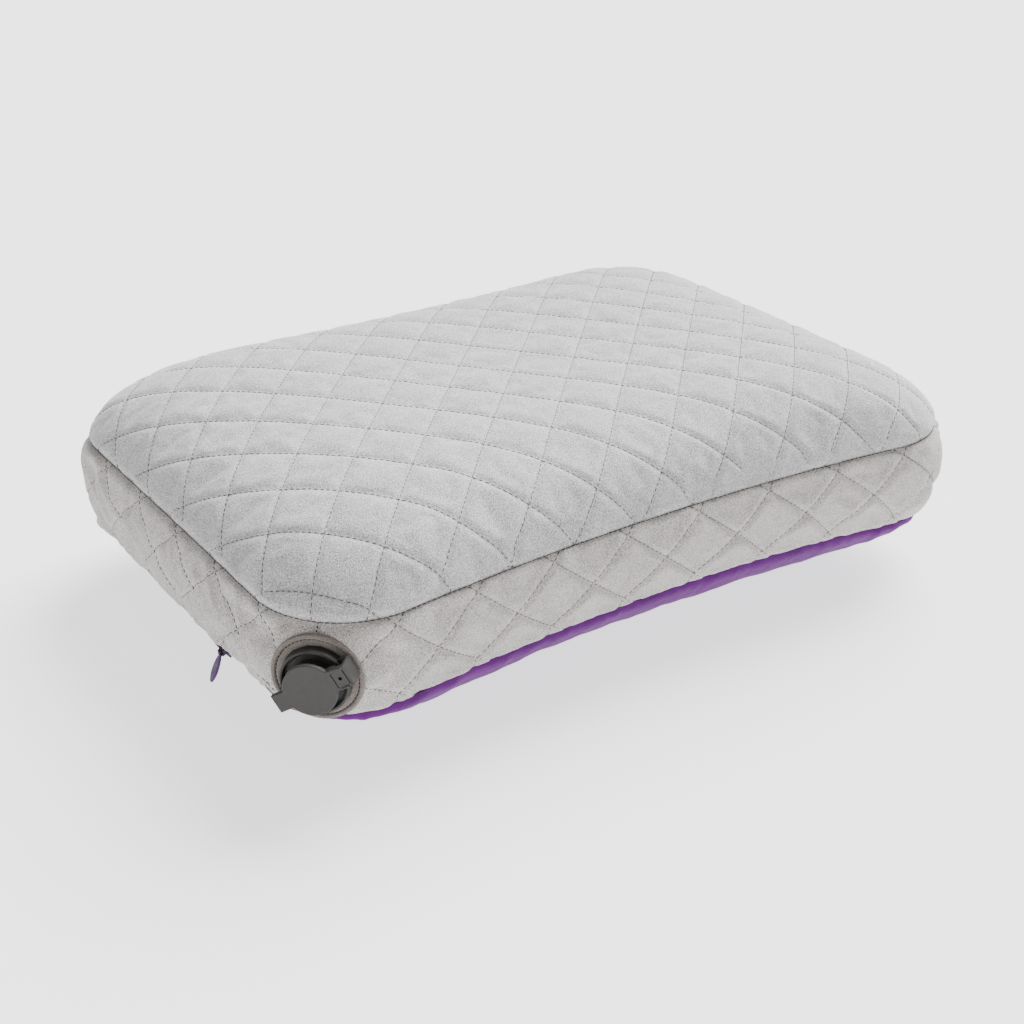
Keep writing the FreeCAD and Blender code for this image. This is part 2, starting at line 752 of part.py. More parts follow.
def zip_group(name, blocks):
    group = doc.addObject("Part::Compound", name)
    group.Links = blocks
    return keep(group, name)


def make_zipper():
    """Two tapes, two rows of teeth, end stops, slider and pull."""
    rows = (("upper", "-{tape_reach}", "-{tooth_far}"), ("lower", "{tape_gap}", "{tooth_near}"))
    first = "-0.5 * {slider_length}"
    for side, tape_low, tooth_low in rows:
        keep(zip_block(f"{first} - {{tape_margin}}", tape_low, "-0.5 * {tape_thickness}",
                       "{zip_length} + 0.5 * {slider_length} + 2 * {tape_margin}",
                       "{tape_reach} - {tape_gap}", "{tape_thickness}"), f"zipper_tape_{side}")
        count = int((size("zip_length") + 0.5 * size("slider_length")) / size("tooth_pitch"))
        zip_group(f"zipper_teeth_{side}", [
            zip_block(f"{first} + {i} * {{tooth_pitch}}", tooth_low, "0.5 * {tape_thickness}",
                      "{tooth_length}", "{tooth_far} - {tooth_near}", "{tooth_height}")
            for i in range(count)])
    zip_group("zipper_stops", [
        zip_block(start, "-{tooth_far}", "0.5 * {tape_thickness}",
                  "{stop_length}", "2 * {tooth_far}", "{tooth_height}")
        for start in (f"{first} - {{stop_length}} - {{slider_play}}", "{zip_length} + 2 * {slider_play}")])
    make_slider()
    make_pull()


SLIDER_UNDER = "-(0.5 * {tape_thickness} + {slider_play})"
SLIDER_OVER = "(0.5 * {tape_thickness} + {tooth_height} + {slider_play})"


def make_slider():
    """Two plates joined by a thin neck, with side walls and a bail for the pull."""
    body = new_body("zipper_slider")
    body.Placement = ZIPPER
    inner = "{slider_half} - {slider_wall}"
    top = f"{SLIDER_OVER} + {{slider_plate}}"
    wall_foot = "0.5 * {tape_thickness} + {slider_play}"
    end_pad(body, [("-{slider_half}", wall_foot), (f"-({inner})", wall_foot),
                   (f"-({inner})", SLIDER_OVER), (inner, SLIDER_OVER), (inner, wall_foot),
                   ("{slider_half}", wall_foot), ("{slider_half}", top),
                   ("-{slider_half}", top)], "{slider_length}")
    neck_end = "-0.5 * {slider_length}"
    side_pad(body, [(neck_end, f"{SLIDER_UNDER} - {{slider_plate}}"),
                    ("0", f"{SLIDER_UNDER} - {{slider_plate}}"),
                    ("0", f"{SLIDER_OVER} + 0.5 * {{slider_plate}}"),
                    (neck_end, f"{SLIDER_OVER} + 0.5 * {{slider_plate}}")], "2 * {slider_neck}")
    end_pad(body, [("-{slider_half}", SLIDER_UNDER), ("{slider_half}", SLIDER_UNDER),
                   ("{slider_half}", f"{SLIDER_UNDER} - {{slider_plate}}"),
                   ("-{slider_half}", f"{SLIDER_UNDER} - {{slider_plate}}")], "{slider_length}")
    foot = f"{SLIDER_OVER} + 0.5 * {{slider_plate}}"
    rise, arch = "{bail_height} + {bail_bar}", "{bail_height} - {bail_bar}"
    side_pad(body, [("-{bail_outer}", foot), ("-{bail_inner}", foot), ("-{bail_inner}", arch),
                    ("{bail_inner}", arch), ("{bail_inner}", foot), ("{bail_outer}", foot),
                    ("{bail_outer} - {bail_bar}", rise), ("{bail_bar} - {bail_outer}", rise)],
             "2 * {bail_bar}")
    keep(body, "zipper_slider")


def pull_placement():
    """Pull frame: origin in the bail, -Z down the pull, X along the bail's bar."""
    lean = math.radians(size("pull_lean"))
    pivot = ZIPPER.multVec(Vector(0, 0, size("bail_height")))
    upward = Vector(math.sin(lean), 0, math.cos(lean))
    bar = Vector(0, 1, 0)
    return App.Placement(pivot, App.Rotation(bar, upward.cross(bar), upward, "ZXY"))


def draw_leaf(sketch):
    """Willow-leaf outline: narrow neck, two bowed flanks and a small round tip."""
    neck, start = size("pull_neck"), size("pull_eye") - size("pull_eye_overlap")
    half, belly, tip = 0.5 * size("pull_width"), size("pull_belly"), size("pull_tip")
    end = size("pull_length") - tip
    fall, rise = end - belly, belly - start
    low = (half ** 2 + fall ** 2 - tip ** 2) / (2 * (half - tip))
    high = ((half - neck) ** 2 + rise ** 2) / (2 * (half - neck))
    low_turn = math.atan2(fall, low - half)
    high_turn = math.asin(rise / high)

    def arc(x, y, radius, start_angle, end_angle):
        return Part.ArcOfCircle(Part.Circle(Vector(x, y, 0), Vector(0, 0, 1), radius),
                                start_angle, end_angle)

    sketch.addGeometry([
        arc(half - high, -belly, high, 0, high_turn),
        arc(half - low, -belly, low, -low_turn, 0),
        arc(0, -end, tip, math.pi + low_turn, 2 * math.pi - low_turn),
        arc(low - half, -belly, low, math.pi, math.pi + low_turn),
        arc(high - half, -belly, high, math.pi - high_turn, math.pi),
        Part.LineSegment(Vector(-neck, -start, 0), Vector(neck, -start, 0)),
    ], False)
    for joint in ((0, 1, 1, 2), (1, 1, 2, 2), (2, 1, 3, 2), (3, 1, 4, 2)):
        sketch.addConstraint(Sketcher.Constraint("Tangent", *joint))
    sketch.addConstraint(Sketcher.Constraint("Coincident", 5, 1, 4, 1))
    sketch.addConstraint(Sketcher.Constraint("Coincident", 5, 2, 0, 2))
    sketch.addConstraint(Sketcher.Constraint("PointOnObject", 2, 3, -2))
    top = "{pull_eye} - {pull_eye_overlap}"
    dimensions = [
        ("tip", ("Radius", 2), tip, "{pull_tip}"),
        ("end", ("DistanceY", 2, 3, -1, 1), end, "{pull_length} - {pull_tip}"),
        ("neck_left", ("DistanceX", 5, 1, -1, 1), neck, "{pull_neck}"),
        ("neck_right", ("DistanceX", -1, 1, 5, 2), neck, "{pull_neck}"),
        ("top_left", ("DistanceY", 5, 1, -1, 1), start, top),
        ("top_right", ("DistanceY", 5, 2, -1, 1), start, top),
        ("half_right", ("DistanceX", -1, 1, 0, 1), half, "0.5 * {pull_width}"),
        ("half_left", ("DistanceX", 4, 2, -1, 1), half, "0.5 * {pull_width}"),
    ]
    dimensions += [(f"belly{i}", ("DistanceY", i, 3, -1, 1), belly, "{pull_belly}")
                   for i in (0, 1, 3, 4)]
    for name, ends, value, text in dimensions:
        drive(sketch, name, Sketcher.Constraint(*ends, value), cells(text))


def make_pull():
    """Leaf-shaped pull with an eye round the bail's bar."""
    body = new_body("zipper_pull")
    body.Placement = pull_placement()
    sketch = new_sketch(body, "leaf", place=side_place())
    draw_leaf(sketch)
    leaf = body.newObject("PartDesign::Pad", "leaf_run")
    leaf.Profile = sketch
    leaf.Midplane = True
    leaf.setExpression("Length", cell("pull_thickness"))
    soften(body, size("pull_rounding"),
           lambda e: e.BoundBox.YLength < 0.01 and e.BoundBox.ZLength > size("pull_neck"))
    for alias, length, kind in (("pull_eye", "{pull_eye_length}", "Pad"),
                                ("pull_eye_bore", "2 * {pull_eye_length}", "Pocket")):
        eye = new_sketch(body, "eye", place=END_PLACE)
        eye.addGeometry(Part.Circle(Vector(), Vector(0, 0, 1), size(alias)), False)
        eye.addConstraint(Sketcher.Constraint("Coincident", 0, 3, -1, 1))
        drive(eye, "radius", Sketcher.Constraint("Radius", 0, size(alias)), cell(alias))
        run = body.newObject(f"PartDesign::{kind}", "eye_run")
        run.Profile = eye
        run.Midplane = True
        run.setExpression("Length", cells(length))
    keep(body, "zipper_pull")


# ---------------------------------------------------------------- build and export

def check(document):
    """Stop if any object failed or any sub-part has no valid solid."""
    failed = [o.Label for o in document.Objects if {"Invalid", "Error"} & set(o.State)]
    broken = [p.Label for p in parts
              if p.Shape.isNull() or not p.Shape.isValid() or not p.Shape.Solids]
    if failed or broken:
        raise RuntimeError(f"failed objects {failed}, broken sub-parts {broken}")


def export():
    """One STEP file per sub-part."""
    os.makedirs("parts", exist_ok=True)
    for piece in parts:
        piece.Shape.exportStep(f"parts/{piece.Label}.step")
        box = piece.Shape.BoundBox
        print(f"{piece.Label}: {len(piece.Shape.Solids)} solids, {piece.Shape.Volume:.0f} mm3, "
              f"{box.XLength:.1f} x {box.YLength:.1f} x {box.ZLength:.1f}")


make_cover()
make_core()
make_valve()
make_zipper()
doc.recompute()
check(doc)
export()
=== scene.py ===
# Inflatable travel pillow: quilted microfibre top and side band, nylon underside, air valve and
# zipper. Shapes are worked out in millimetres in the CAD model's frame. +X runs along the pillow,
# and the valve is at the corner at -X -Y.

import math
from collections import Counter

import bmesh
import bpy
import numpy as np
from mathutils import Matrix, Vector, noise
from mathutils.bvhtree import BVHTree
from mathutils.geometry import delaunay_2d_cdt
from mathutils.kdtree import KDTree


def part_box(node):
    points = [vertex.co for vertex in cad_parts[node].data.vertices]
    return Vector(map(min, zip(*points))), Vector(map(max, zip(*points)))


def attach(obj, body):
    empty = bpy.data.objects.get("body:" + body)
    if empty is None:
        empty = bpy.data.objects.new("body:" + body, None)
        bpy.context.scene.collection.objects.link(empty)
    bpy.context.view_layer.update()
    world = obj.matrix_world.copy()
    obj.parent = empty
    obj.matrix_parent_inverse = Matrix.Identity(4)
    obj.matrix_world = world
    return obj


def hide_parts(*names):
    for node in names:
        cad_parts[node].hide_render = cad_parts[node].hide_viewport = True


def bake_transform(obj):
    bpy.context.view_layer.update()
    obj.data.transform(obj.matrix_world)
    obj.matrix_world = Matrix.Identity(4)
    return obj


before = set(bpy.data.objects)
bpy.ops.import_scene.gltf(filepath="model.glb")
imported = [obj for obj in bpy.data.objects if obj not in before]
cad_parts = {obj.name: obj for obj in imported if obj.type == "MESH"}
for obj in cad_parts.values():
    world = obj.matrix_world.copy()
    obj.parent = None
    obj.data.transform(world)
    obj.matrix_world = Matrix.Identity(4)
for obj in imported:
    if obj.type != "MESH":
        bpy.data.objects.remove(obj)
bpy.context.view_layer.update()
MM = 0.001


def box_mm(node):
    """Low and high corner of a CAD part's box."""
    low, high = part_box(node)
    return np.array(low) / MM, np.array(high) / MM


# ---- driving dimensions, mm

band_low, band_high = box_mm("side_band")
top_high = box_mm("top_panel")[1]
HALF_LENGTH, HALF_WIDTH = top_high[0], top_high[1]
BOTTOM_SEAM, TOP_SEAM = band_low[2], band_high[2]
CROWN_RISE, SEAM_GAP = top_high[2] - TOP_SEAM, TOP_SEAM - BOTTOM_SEAM
# the band swells from a face that slopes in to the bottom seam, here 1.5 at its widest
BAND_BULGE = band_high[0] - HALF_LENGTH + 1.5
BOTTOM_INSET = 3.1
# the outline: corners, how far the long sides pull in, and how much rounder inner rings are
CORNER_RADIUS, WAIST, RING_ROUNDING = 43.5, 7.7, 0.9
# profiles of the crown and the base over a ring's share of the outline
CROWN_POWER, CROWN_BLUNT = 5.0, 0.6
BASE_POWER, BASE_BLUNT, BASE_FLAT = 3.0, 0.66, 0.507
# how far the two seams rise along the sides and drop at the corners, and their mean
TOP_WAVE, BOTTOM_WAVE, WAVE_MEAN = 1.35, 4.5, 0.35

# quilting on the top: cells along X and Y, where the lines cross, and their turn
CELL_X, CELL_Y = 35.3, 40.6
QUILT_A0, QUILT_B0, QUILT_TURN = 7.94, 8.76, -0.035
CELL_STEPS, SEAM_STEPS = 10, 880
# width of a cell across its stitched lines, and what counts as on a line, in cells
QUILT_PITCH, ON_LINE = 26.6, 1e-3
# quilting on the band: cells along the seam and down it
BAND_STEPS_ROUND, BAND_STEPS_DOWN, BAND_CELL_STEPS = 590, 26, 20
BAND_CELL, BAND_CELL_DOWN = 40.3, 35.4
BAND_FIRST_LINE, BAND_SECOND_LINE = 30.0, 38.1
# depth and width of the groove that each seam draws into its panels
SEAM_PINCH, SEAM_PINCH_WIDTH = 1.4, 1.15
# how far the covers may sink under their blown-up shape
MOST_SUNK = 1.4
# zipper: the nylon's opening reaches this far down its tapes
TAPE_REACH, ZIP_MIDDLE_Y = 3.6, 21.0
# valve; points further back than VALVE_BACK belong to other sides of the pillow
VALVE_HEIGHT, VALVE_ANGLE, VALVE_BACK = 50.8, 225.0, -12
NECK_RADIUS, PATCH_RADIUS, PATCH_PLANE = 14.5, 19.6, -0.6
STRAP_ANGLE, STRAP_TOP, STRAP_HALF = 30.0, 10.9, 4.7
CAP_HINGE, STAGE_HINGE, HINGE_GAP, HINGE_WEB = 12.0, 17.6, 0.4, 1.45


# ---- shape of the pillow

def ring_sizes(share, inset):
    """Half length, half width, corner radius and waist of the ring at a share of the outline."""
    length = share * (HALF_LENGTH - inset)
    width = share * (HALF_WIDTH - inset)
    corner = share * (1 + RING_ROUNDING * (1 - share)) * (CORNER_RADIUS - inset)
    return length, width, corner, share ** 2 * WAIST


def inside_ring(x, y, share):
    """True where |x|, |y| lies inside the ring at that share of the top seam's outline."""
    x, y = np.abs(x), np.abs(y)
    length, width, corner, waist = ring_sizes(share, 0.0)
    cx, cy = length - corner, width - corner
    hollow = (cx ** 2 + waist ** 2) / (2 * waist) - corner
    rise = np.sqrt((hollow + corner) ** 2 - cx ** 2)
    dx, dy = x - cx, y - cy
    at_corner = (dy > 0) & (-cx * dy - rise * dx < 0)
    return np.where(at_corner, dx * dx + dy * dy < corner ** 2,
                    (x < length) & (x * x + (y - cy - rise) ** 2 > hollow ** 2))


def ring_share(x, y):
    """The share of the ring that passes through each point, by bisection."""
    low, high = np.full(np.shape(x), 1e-3), np.full(np.shape(x), 1.0)
    for _ in range(26):
        middle = 0.5 * (low + high)
        within = inside_ring(x, y, middle)
        high = np.where(within, middle, high)
        low = np.where(within, low, middle)
    return high


def outline_of(length, width, corner, waist, count):
    """Points round a waisted, round-cornered outline at even steps, and its length.

    It starts at the middle of the valve's corner and runs towards +X."""
    cx, cy = length - corner, width - corner
    hollow = (cx ** 2 + waist ** 2) / (2 * waist) - corner
    rise = math.sqrt((hollow + corner) ** 2 - cx ** 2)
    turn = math.atan2(rise, -cx)
    quarter = math.pi / 2

    def arc(x, y, radius, start, end):
        angle = np.linspace(start, end, 400)[:-1]
        return np.column_stack([x + radius * np.cos(angle), y + radius * np.sin(angle)])

    def line(x, start, end):
        return np.column_stack([np.full(400, x), np.linspace(start, end, 400)])[:-1]

    loops = [
        arc(-cx, -cy, corner, 2.5 * quarter, math.pi + turn),
        arc(0, -cy - rise, hollow, turn, math.pi - turn),
        arc(cx, -cy, corner, -turn, 0),
        line(length, -cy, cy),
        arc(cx, cy, corner, 0, turn),
        arc(0, cy + rise, hollow, turn - math.pi, -turn),
        arc(-cx, cy, corner, math.pi - turn, math.pi),
        line(-length, cy, -cy),
        arc(-cx, -cy, corner, math.pi, 2.5 * quarter),
    ]
    path = np.vstack(loops + [loops[0][:1]])
    run = np.concatenate([[0], np.cumsum(np.linalg.norm(np.diff(path, axis=0), axis=1))])
    steps = np.linspace(0, run[-1], count, endpoint=False)
    return np.column_stack([np.interp(steps, run, path[:, i]) for i in (0, 1)]), run[-1]


def outline(inset, count, share=1.0):
    """The ring at a share of the outline that is `inset` inside the top seam, and its length."""
    length, width, corner, waist = ring_sizes(share, inset)
    return outline_of(length, width, corner, max(waist, 1e-3), count)


def cornerness(x, y):
    """0 along the middle lines of the pillow and towards 1 at its corners."""
    return np.clip(np.abs(x * y) / (HALF_LENGTH * HALF_WIDTH), 0, 1)


def seam_wave(x, y, amount, at_zipper=False):
    """Height of a seam over its mean: up along the sides, down at the corners.

    The bottom seam runs level, a little under its mean, beside the zipper."""
    wave = amount * (WAVE_MEAN - cornerness(x, y) ** 2)
    if not at_zipper:
        return wave
    beside = (np.clip((-x - 165.0) / 12.0, 0, 1)
              * np.clip((106.0 - np.abs(y - ZIP_MIDDLE_Y)) / 30.0, 0, 1))
    return wave * (1 - beside) - 0.5 * beside


def crown_height(x, y, share):
    """Height of the top panel."""
    rise = (1 - np.clip(share, 0, 1) ** CROWN_POWER) ** CROWN_BLUNT
    return TOP_SEAM + seam_wave(x, y, TOP_WAVE) * share ** 4 + CROWN_RISE * rise


def base_height(x, y, share):
    """Height of the underside, flat in the middle where it rests."""
    def drop(s):
        return (1 - np.clip(s, 0, 1) ** BASE_POWER) ** BASE_BLUNT

    fall = np.minimum(drop(share) / drop(BASE_FLAT), 1.0)
    return BOTTOM_SEAM * (1 - fall) + seam_wave(x, y, BOTTOM_WAVE, True) * share ** 4


# ---- cloth laid over the crown

TABLE_STEP = 0.5
STEEPEST = 4.0


def stretch_tables():
    """Arc length along X and along Y from the middle, tabled over one quarter of the top."""
    xs = np.arange(0, HALF_LENGTH + 30, TABLE_STEP)
    ys = np.arange(0, HALF_WIDTH + 30, TABLE_STEP)
    grid_x, grid_y = np.meshgrid(xs, ys, indexing="ij")
    height = crown_height(grid_x, grid_y, ring_share(grid_x, grid_y))
    tables = []
    for axis in (0, 1):
        slope = np.clip(np.gradient(height, TABLE_STEP, axis=axis), -STEEPEST, STEEPEST)
        pace = np.sqrt(1 + slope ** 2) * TABLE_STEP
        run = np.cumsum(pace, axis=axis) - 0.5 * (pace + pace.take([0], axis=axis))
        tables.append(run)
    return tables


def read_table(table, x, y):
    """Bilinear reading of a quarter table at |x|, |y|."""
    i = np.clip(np.abs(x) / TABLE_STEP, 0, table.shape[0] - 1.001)
    j = np.clip(np.abs(y) / TABLE_STEP, 0, table.shape[1] - 1.001)
    i0, j0 = i.astype(int), j.astype(int)
    u, v = i - i0, j - j0
    return ((1 - u) * (1 - v) * table[i0, j0] + u * (1 - v) * table[i0 + 1, j0]
            + (1 - u) * v * table[i0, j0 + 1] + u * v * table[i0 + 1, j0 + 1])


def turned(x, y, angle):
    """A vector turned to the left."""
    return x * math.cos(angle) - y * math.sin(angle), x * math.sin(angle) + y * math.cos(angle)


def cloth_to_plan(a, b, tables):
    """Plan position of quilting coordinates: integers lie on the stitched lines."""
    run = CELL_X / 2 * ((a - QUILT_A0) + (b - QUILT_B0))
    across = CELL_Y / 2 * ((b - QUILT_B0) - (a - QUILT_A0))
    goal_x, goal_y = turned(run, across, QUILT_TURN)
    x, y = 0.9 * goal_x, 0.9 * goal_y
    for _ in range(25):
        x = x + 0.7 * (goal_x - np.sign(x) * read_table(tables[0], x, y))
        y = y + 0.7 * (goal_y - np.sign(y) * read_table(tables[1], x, y))
    return x, y


def plan_to_cloth(x, y, tables):
    """Quilting coordinates of a plan position."""
    along = np.sign(x) * read_table(tables[0], x, y)
    over = np.sign(y) * read_table(tables[1], x, y)
    run, across = turned(along, over, -QUILT_TURN)
    return (QUILT_A0 + run / CELL_X - across / CELL_Y,
            QUILT_B0 + run / CELL_X + across / CELL_Y)


# ---- mesh helpers

def add_object(name, data):
    """A new object in the scene."""
    made = bpy.data.objects.new(name, data)
    bpy.context.scene.collection.objects.link(made)
    return made


def corners_of(mesh):
    """The vertex at each corner of each face."""
    corners = np.empty(len(mesh.loops), dtype=np.int64)
    mesh.loops.foreach_get("vertex_index", corners)
    return corners


def new_piece(name, points, faces, body="pillow", uv=None):
    """A smooth mesh piece from points in millimetres, riding on a body."""
    mesh = bpy.data.meshes.new(name)
    mesh.from_pydata((np.asarray(points) * MM).tolist(), [], faces)
    mesh.update()
    mesh.shade_smooth()
    if uv is not None:
        layer = mesh.uv_layers.new(name="fabric")
        layer.data.foreach_set("uv", np.asarray(uv, dtype=np.float32)[corners_of(mesh)].ravel())
    piece = add_object(name, mesh)
    if body:
        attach(piece, body)
    return piece


def read_vectors(items, key):
    """One vector of each item of a mesh, such as its vertices, as an array."""
    flat = np.empty(len(items) * 3, dtype=np.float32)
    items.foreach_get(key, flat)
    return flat.reshape(-1, 3)


def get_points(piece):
    """Vertices of a piece, in millimetres."""
    return read_vectors(piece.data.vertices, "co").astype(float) / MM


def set_points(piece, points):
    piece.data.vertices.foreach_set("co", (points * MM).astype(np.float32).ravel())
    piece.data.update()


def get_normals(piece):
    return read_vectors(piece.data.vertex_normals, "vector").astype(float)


def face_middles(piece):
    return read_vectors(piece.data.polygons, "center").astype(float) / MM


def vertex_uv(piece):
    """One fabric coordinate per vertex."""
    mesh = piece.data
    flat = np.empty(len(mesh.loops) * 2, dtype=np.float32)
    mesh.uv_layers["fabric"].data.foreach_get("uv", flat)
    uv = np.zeros((len(mesh.vertices), 2))
    uv[corners_of(mesh)] = flat.reshape(-1, 2)
    return uv


def read_piece(piece):
    """Points, normals and fabric coordinates of a piece."""
    return get_points(piece), get_normals(piece), vertex_uv(piece)


def boundary_vertices(piece):
    """Vertices on the open edges of a piece."""
    counts = Counter(key for face in piece.data.polygons for key in face.edge_keys)
    return sorted({v for key, count in counts.items() if count == 1 for v in key})


def cut_faces(piece, unwanted):
    """Delete the faces that a boolean array marks."""
    work = bmesh.new()
    work.from_mesh(piece.data)
    work.faces.ensure_lookup_table()
    doomed = [work.faces[k] for k in np.flatnonzero(unwanted)]
    bmesh.ops.delete(work, geom=doomed, context="FACES")
    work.to_mesh(piece.data)
    work.free()


def apply_modifiers(piece):
    """Bake a piece's modifiers into its mesh."""
    graph = bpy.context.evaluated_depsgraph_get()
    baked = bpy.data.meshes.new_from_object(piece.evaluated_get(graph), depsgraph=graph)
    piece.modifiers.clear()
    old, name = piece.data, piece.data.name
    piece.data = baked
    bpy.data.meshes.remove(old)
    baked.name = name


def refine(piece):
    """One smoothing subdivision."""
    modifier = piece.modifiers.new("refine", "SUBSURF")
    modifier.levels = 1
    modifier.boundary_smooth = "PRESERVE_CORNERS"
    apply_modifiers(piece)


def smooth_noise(points, scale, seed=0.0):
    """Perlin noise at each point, features about `scale` mm across."""
    shift = Vector((seed, 2.7 * seed, -1.3 * seed))
    return np.array([noise.noise(Vector(p) / scale + shift) for p in points])


def point_tree(points):
    """A search tree over points."""
    tree = KDTree(len(points))
    for k, spot in enumerate(points):
        tree.insert(spot, k)
    tree.balance()
    return tree


def line_noise(run, scale, seed):
    """Noise along a run of distances."""
    return smooth_noise(np.column_stack([run, 0 * run, 0 * run]), scale, seed)


def ring_faces(rings, count):
    """Quads between successive rings of `count` points."""
    return [[j * count + i, (j + 1) * count + i, (j + 1) * count + (i + 1) % count,
             j * count + (i + 1) % count] for j in range(rings - 1) for i in range(count)]


def inflate(piece, hold, pressure, slack, cap, bending, frames=18, stiffness=8.0):
    """Blow a cloth held at its stitches outwards, moving no point more than `cap` mm."""
    scene = bpy.context.scene
    group = piece.vertex_groups.new(name="hold")
    for weight in np.unique(hold):
        if weight > 0:
            group.add(np.flatnonzero(hold == weight).tolist(), float(weight), "REPLACE")
    before = get_points(piece)
    modifier = piece.modifiers.new("cloth", "CLOTH")
    cloth = modifier.settings
    cloth.quality = 6
    cloth.mass = 0.0002
    cloth.tension_stiffness = cloth.compression_stiffness = stiffness
    cloth.shear_stiffness = stiffness
    cloth.bending_stiffness = bending
    cloth.air_damping = 2
    cloth.effector_weights.gravity = 0
    cloth.vertex_group_mass = "hold"
    cloth.shrink_min = -slack
    cloth.use_pressure = True
    cloth.uniform_pressure_force = pressure
    modifier.collision_settings.use_collision = False
    modifier.point_cache.frame_start, modifier.point_cache.frame_end = 1, frames
    for number in range(1, frames + 1):
        scene.frame_set(number)
    graph = bpy.context.evaluated_depsgraph_get()
    after = read_vectors(piece.evaluated_get(graph).data.vertices, "co") / MM
    piece.modifiers.clear()
    piece.vertex_groups.clear()
    scene.frame_set(1)
    move = after - before
    reach = np.linalg.norm(move, axis=1, keepdims=True)
    set_points(piece, before + move * np.minimum(1, cap / np.maximum(reach, 1e-6)))


# ---- quilted top

def quilt_grid():
    """Quilting coordinates of a grid aligned with the stitched lines."""
    reach = HALF_LENGTH / CELL_X + HALF_WIDTH / CELL_Y + 3
    count = int(2 * reach + 2) * CELL_STEPS
    i, j = np.meshgrid(np.arange(count), np.arange(count), indexing="ij")
    return int(QUILT_A0 - reach) + i / CELL_STEPS, int(QUILT_B0 - reach) + j / CELL_STEPS


def fill_to_rim(points, quads, whole, origin):
    """Triangles between the outermost whole quads of a grid and the rim round it."""
    edges = np.vstack([quads[:, [k, (k + 1) % 4]] for k in range(4)])
    key, counts = np.unique(np.sort(edges, axis=1), axis=0, return_counts=True)
    border = key[counts == 1]
    first_rim = len(points) - SEAM_STEPS
    loose = np.setdiff1d(np.arange(first_rim), np.unique(quads))
    used = np.concatenate([np.unique(border), loose, np.arange(first_rim, len(points))])
    place = {int(p): k for k, p in enumerate(used)}
    lines = [(place[int(p)], place[int(q)]) for p, q in border]
    rim = [place[first_rim + k] for k in range(SEAM_STEPS)]
    lines += zip(rim, rim[1:] + rim[:1])
    found = delaunay_2d_cdt([Vector(points[p]) for p in used], lines, [], 1, 1e-6)
    owner = [used[group[0]] for group in found[3]]
    triangles = []
    for face in found[2]:
        middle = sum((found[0][v] for v in face), Vector((0, 0))) / len(face)
        cell = tuple(int((middle[k] - origin[k]) / (1 / CELL_STEPS)) for k in (0, 1))
        if not whole[cell]:
            triangles.append([int(owner[v]) for v in face])
    return triangles


def make_top():
    """The quilted top: grid along the stitching, closed to the seam by small triangles."""
    tables = stretch_tables()
    a, b = quilt_grid()
    x, y = cloth_to_plan(a, b, tables)
    rim, _ = outline(0.0, SEAM_STEPS)
    rim_ab = np.column_stack(plan_to_cloth(rim[:, 0], rim[:, 1], tables))
    inner = inside_ring(x, y, 1.0)
    tree = point_tree(np.column_stack([rim_ab, np.zeros(SEAM_STEPS)]))
    for i, j in np.argwhere(inner):
        if tree.find((a[i, j], b[i, j], 0))[2] < 0.55 / CELL_STEPS:
            inner[i, j] = False
    index = np.full(a.shape, -1)
    index[inner] = np.arange(inner.sum())
    corners = [index[:-1, :-1], index[1:, :-1], index[1:, 1:], index[:-1, 1:]]
    whole = np.all([c >= 0 for c in corners], axis=0)
    quads = np.column_stack([c[whole] for c in corners])
    cloth = np.vstack([np.column_stack([a[inner], b[inner]]), rim_ab])
    triangles = fill_to_rim(cloth, quads, whole, (a[0, 0], b[0, 0]))
    share = np.concatenate([ring_share(x[inner], y[inner]), np.ones(SEAM_STEPS)])
    plan = np.vstack([np.column_stack([x[inner], y[inner]]), rim])
    height = crown_height(plan[:, 0], plan[:, 1], share)
    return np.column_stack([plan, height]), quads.tolist() + triangles, cloth


# ---- seams between the panels

def seam_curve(inset, level, wave, at_zipper=False):
    """Points of a seam, their inward directions and the run along it."""
    count = SEAM_STEPS
    flat, run = outline(inset, count)
    ahead = np.roll(flat, -1, axis=0) - np.roll(flat, 1, axis=0)
    ahead /= np.linalg.norm(ahead, axis=1, keepdims=True)
    inward = np.column_stack([-ahead[:, 1], ahead[:, 0], np.zeros(count)])
    height = level + seam_wave(flat[:, 0], flat[:, 1], wave, at_zipper)
    return np.column_stack([flat, height]), inward, np.linspace(0, run, count, endpoint=False)


def find_seam(points, seam):
    """Index of the nearest point of a seam and the distance to it."""
    tree = point_tree(seam)
    index, distance = zip(*[tree.find(point)[1:] for point in points])
    return np.array(index), np.array(distance)


def draw_in(points, normals, seam, pucker, seed):
    """Pinch a panel into its seam, with a soft welt beside it and gathers across it."""
    curve, inward, run = seam
    index, distance = find_seam(points, curve)
    shift = inward[index] * (SEAM_PINCH * np.exp(-(distance / SEAM_PINCH_WIDTH) ** 2))[:, None]
    welt = 0.45 * np.exp(-((distance - 4.0) / 2.2) ** 2)
    gather = line_noise(run, 5.0, seed) + 0.6 * line_noise(run, 11.0, seed + 3.0)
    uneven = 0.55 + 0.9 * np.clip(line_noise(run, 60.0, seed + 7.0) + 0.25, 0, 1)
    fold = pucker * (gather * uneven)[index] * np.exp(-distance / 7.0) * np.minimum(distance, 1.5)
    return points + shift + normals * (welt + fold)[:, None]


TOP_SEAM_CURVE = seam_curve(0.0, TOP_SEAM, TOP_WAVE)
BOTTOM_SEAM_CURVE = seam_curve(BOTTOM_INSET, BOTTOM_SEAM, BOTTOM_WAVE, True)


def line_gaps(cloth):
    """Distance from the stitched lines of both directions, in cells."""
    return np.abs(cloth - np.round(cloth))


def crease(points, normals, cloth, depth, width):
    """Sink the stitched lines of a quilted panel."""
    off = line_gaps(cloth).min(axis=1) * QUILT_PITCH
    return points - normals * (depth * np.exp(-(off / width) ** 2))[:, None]


# ---- side band

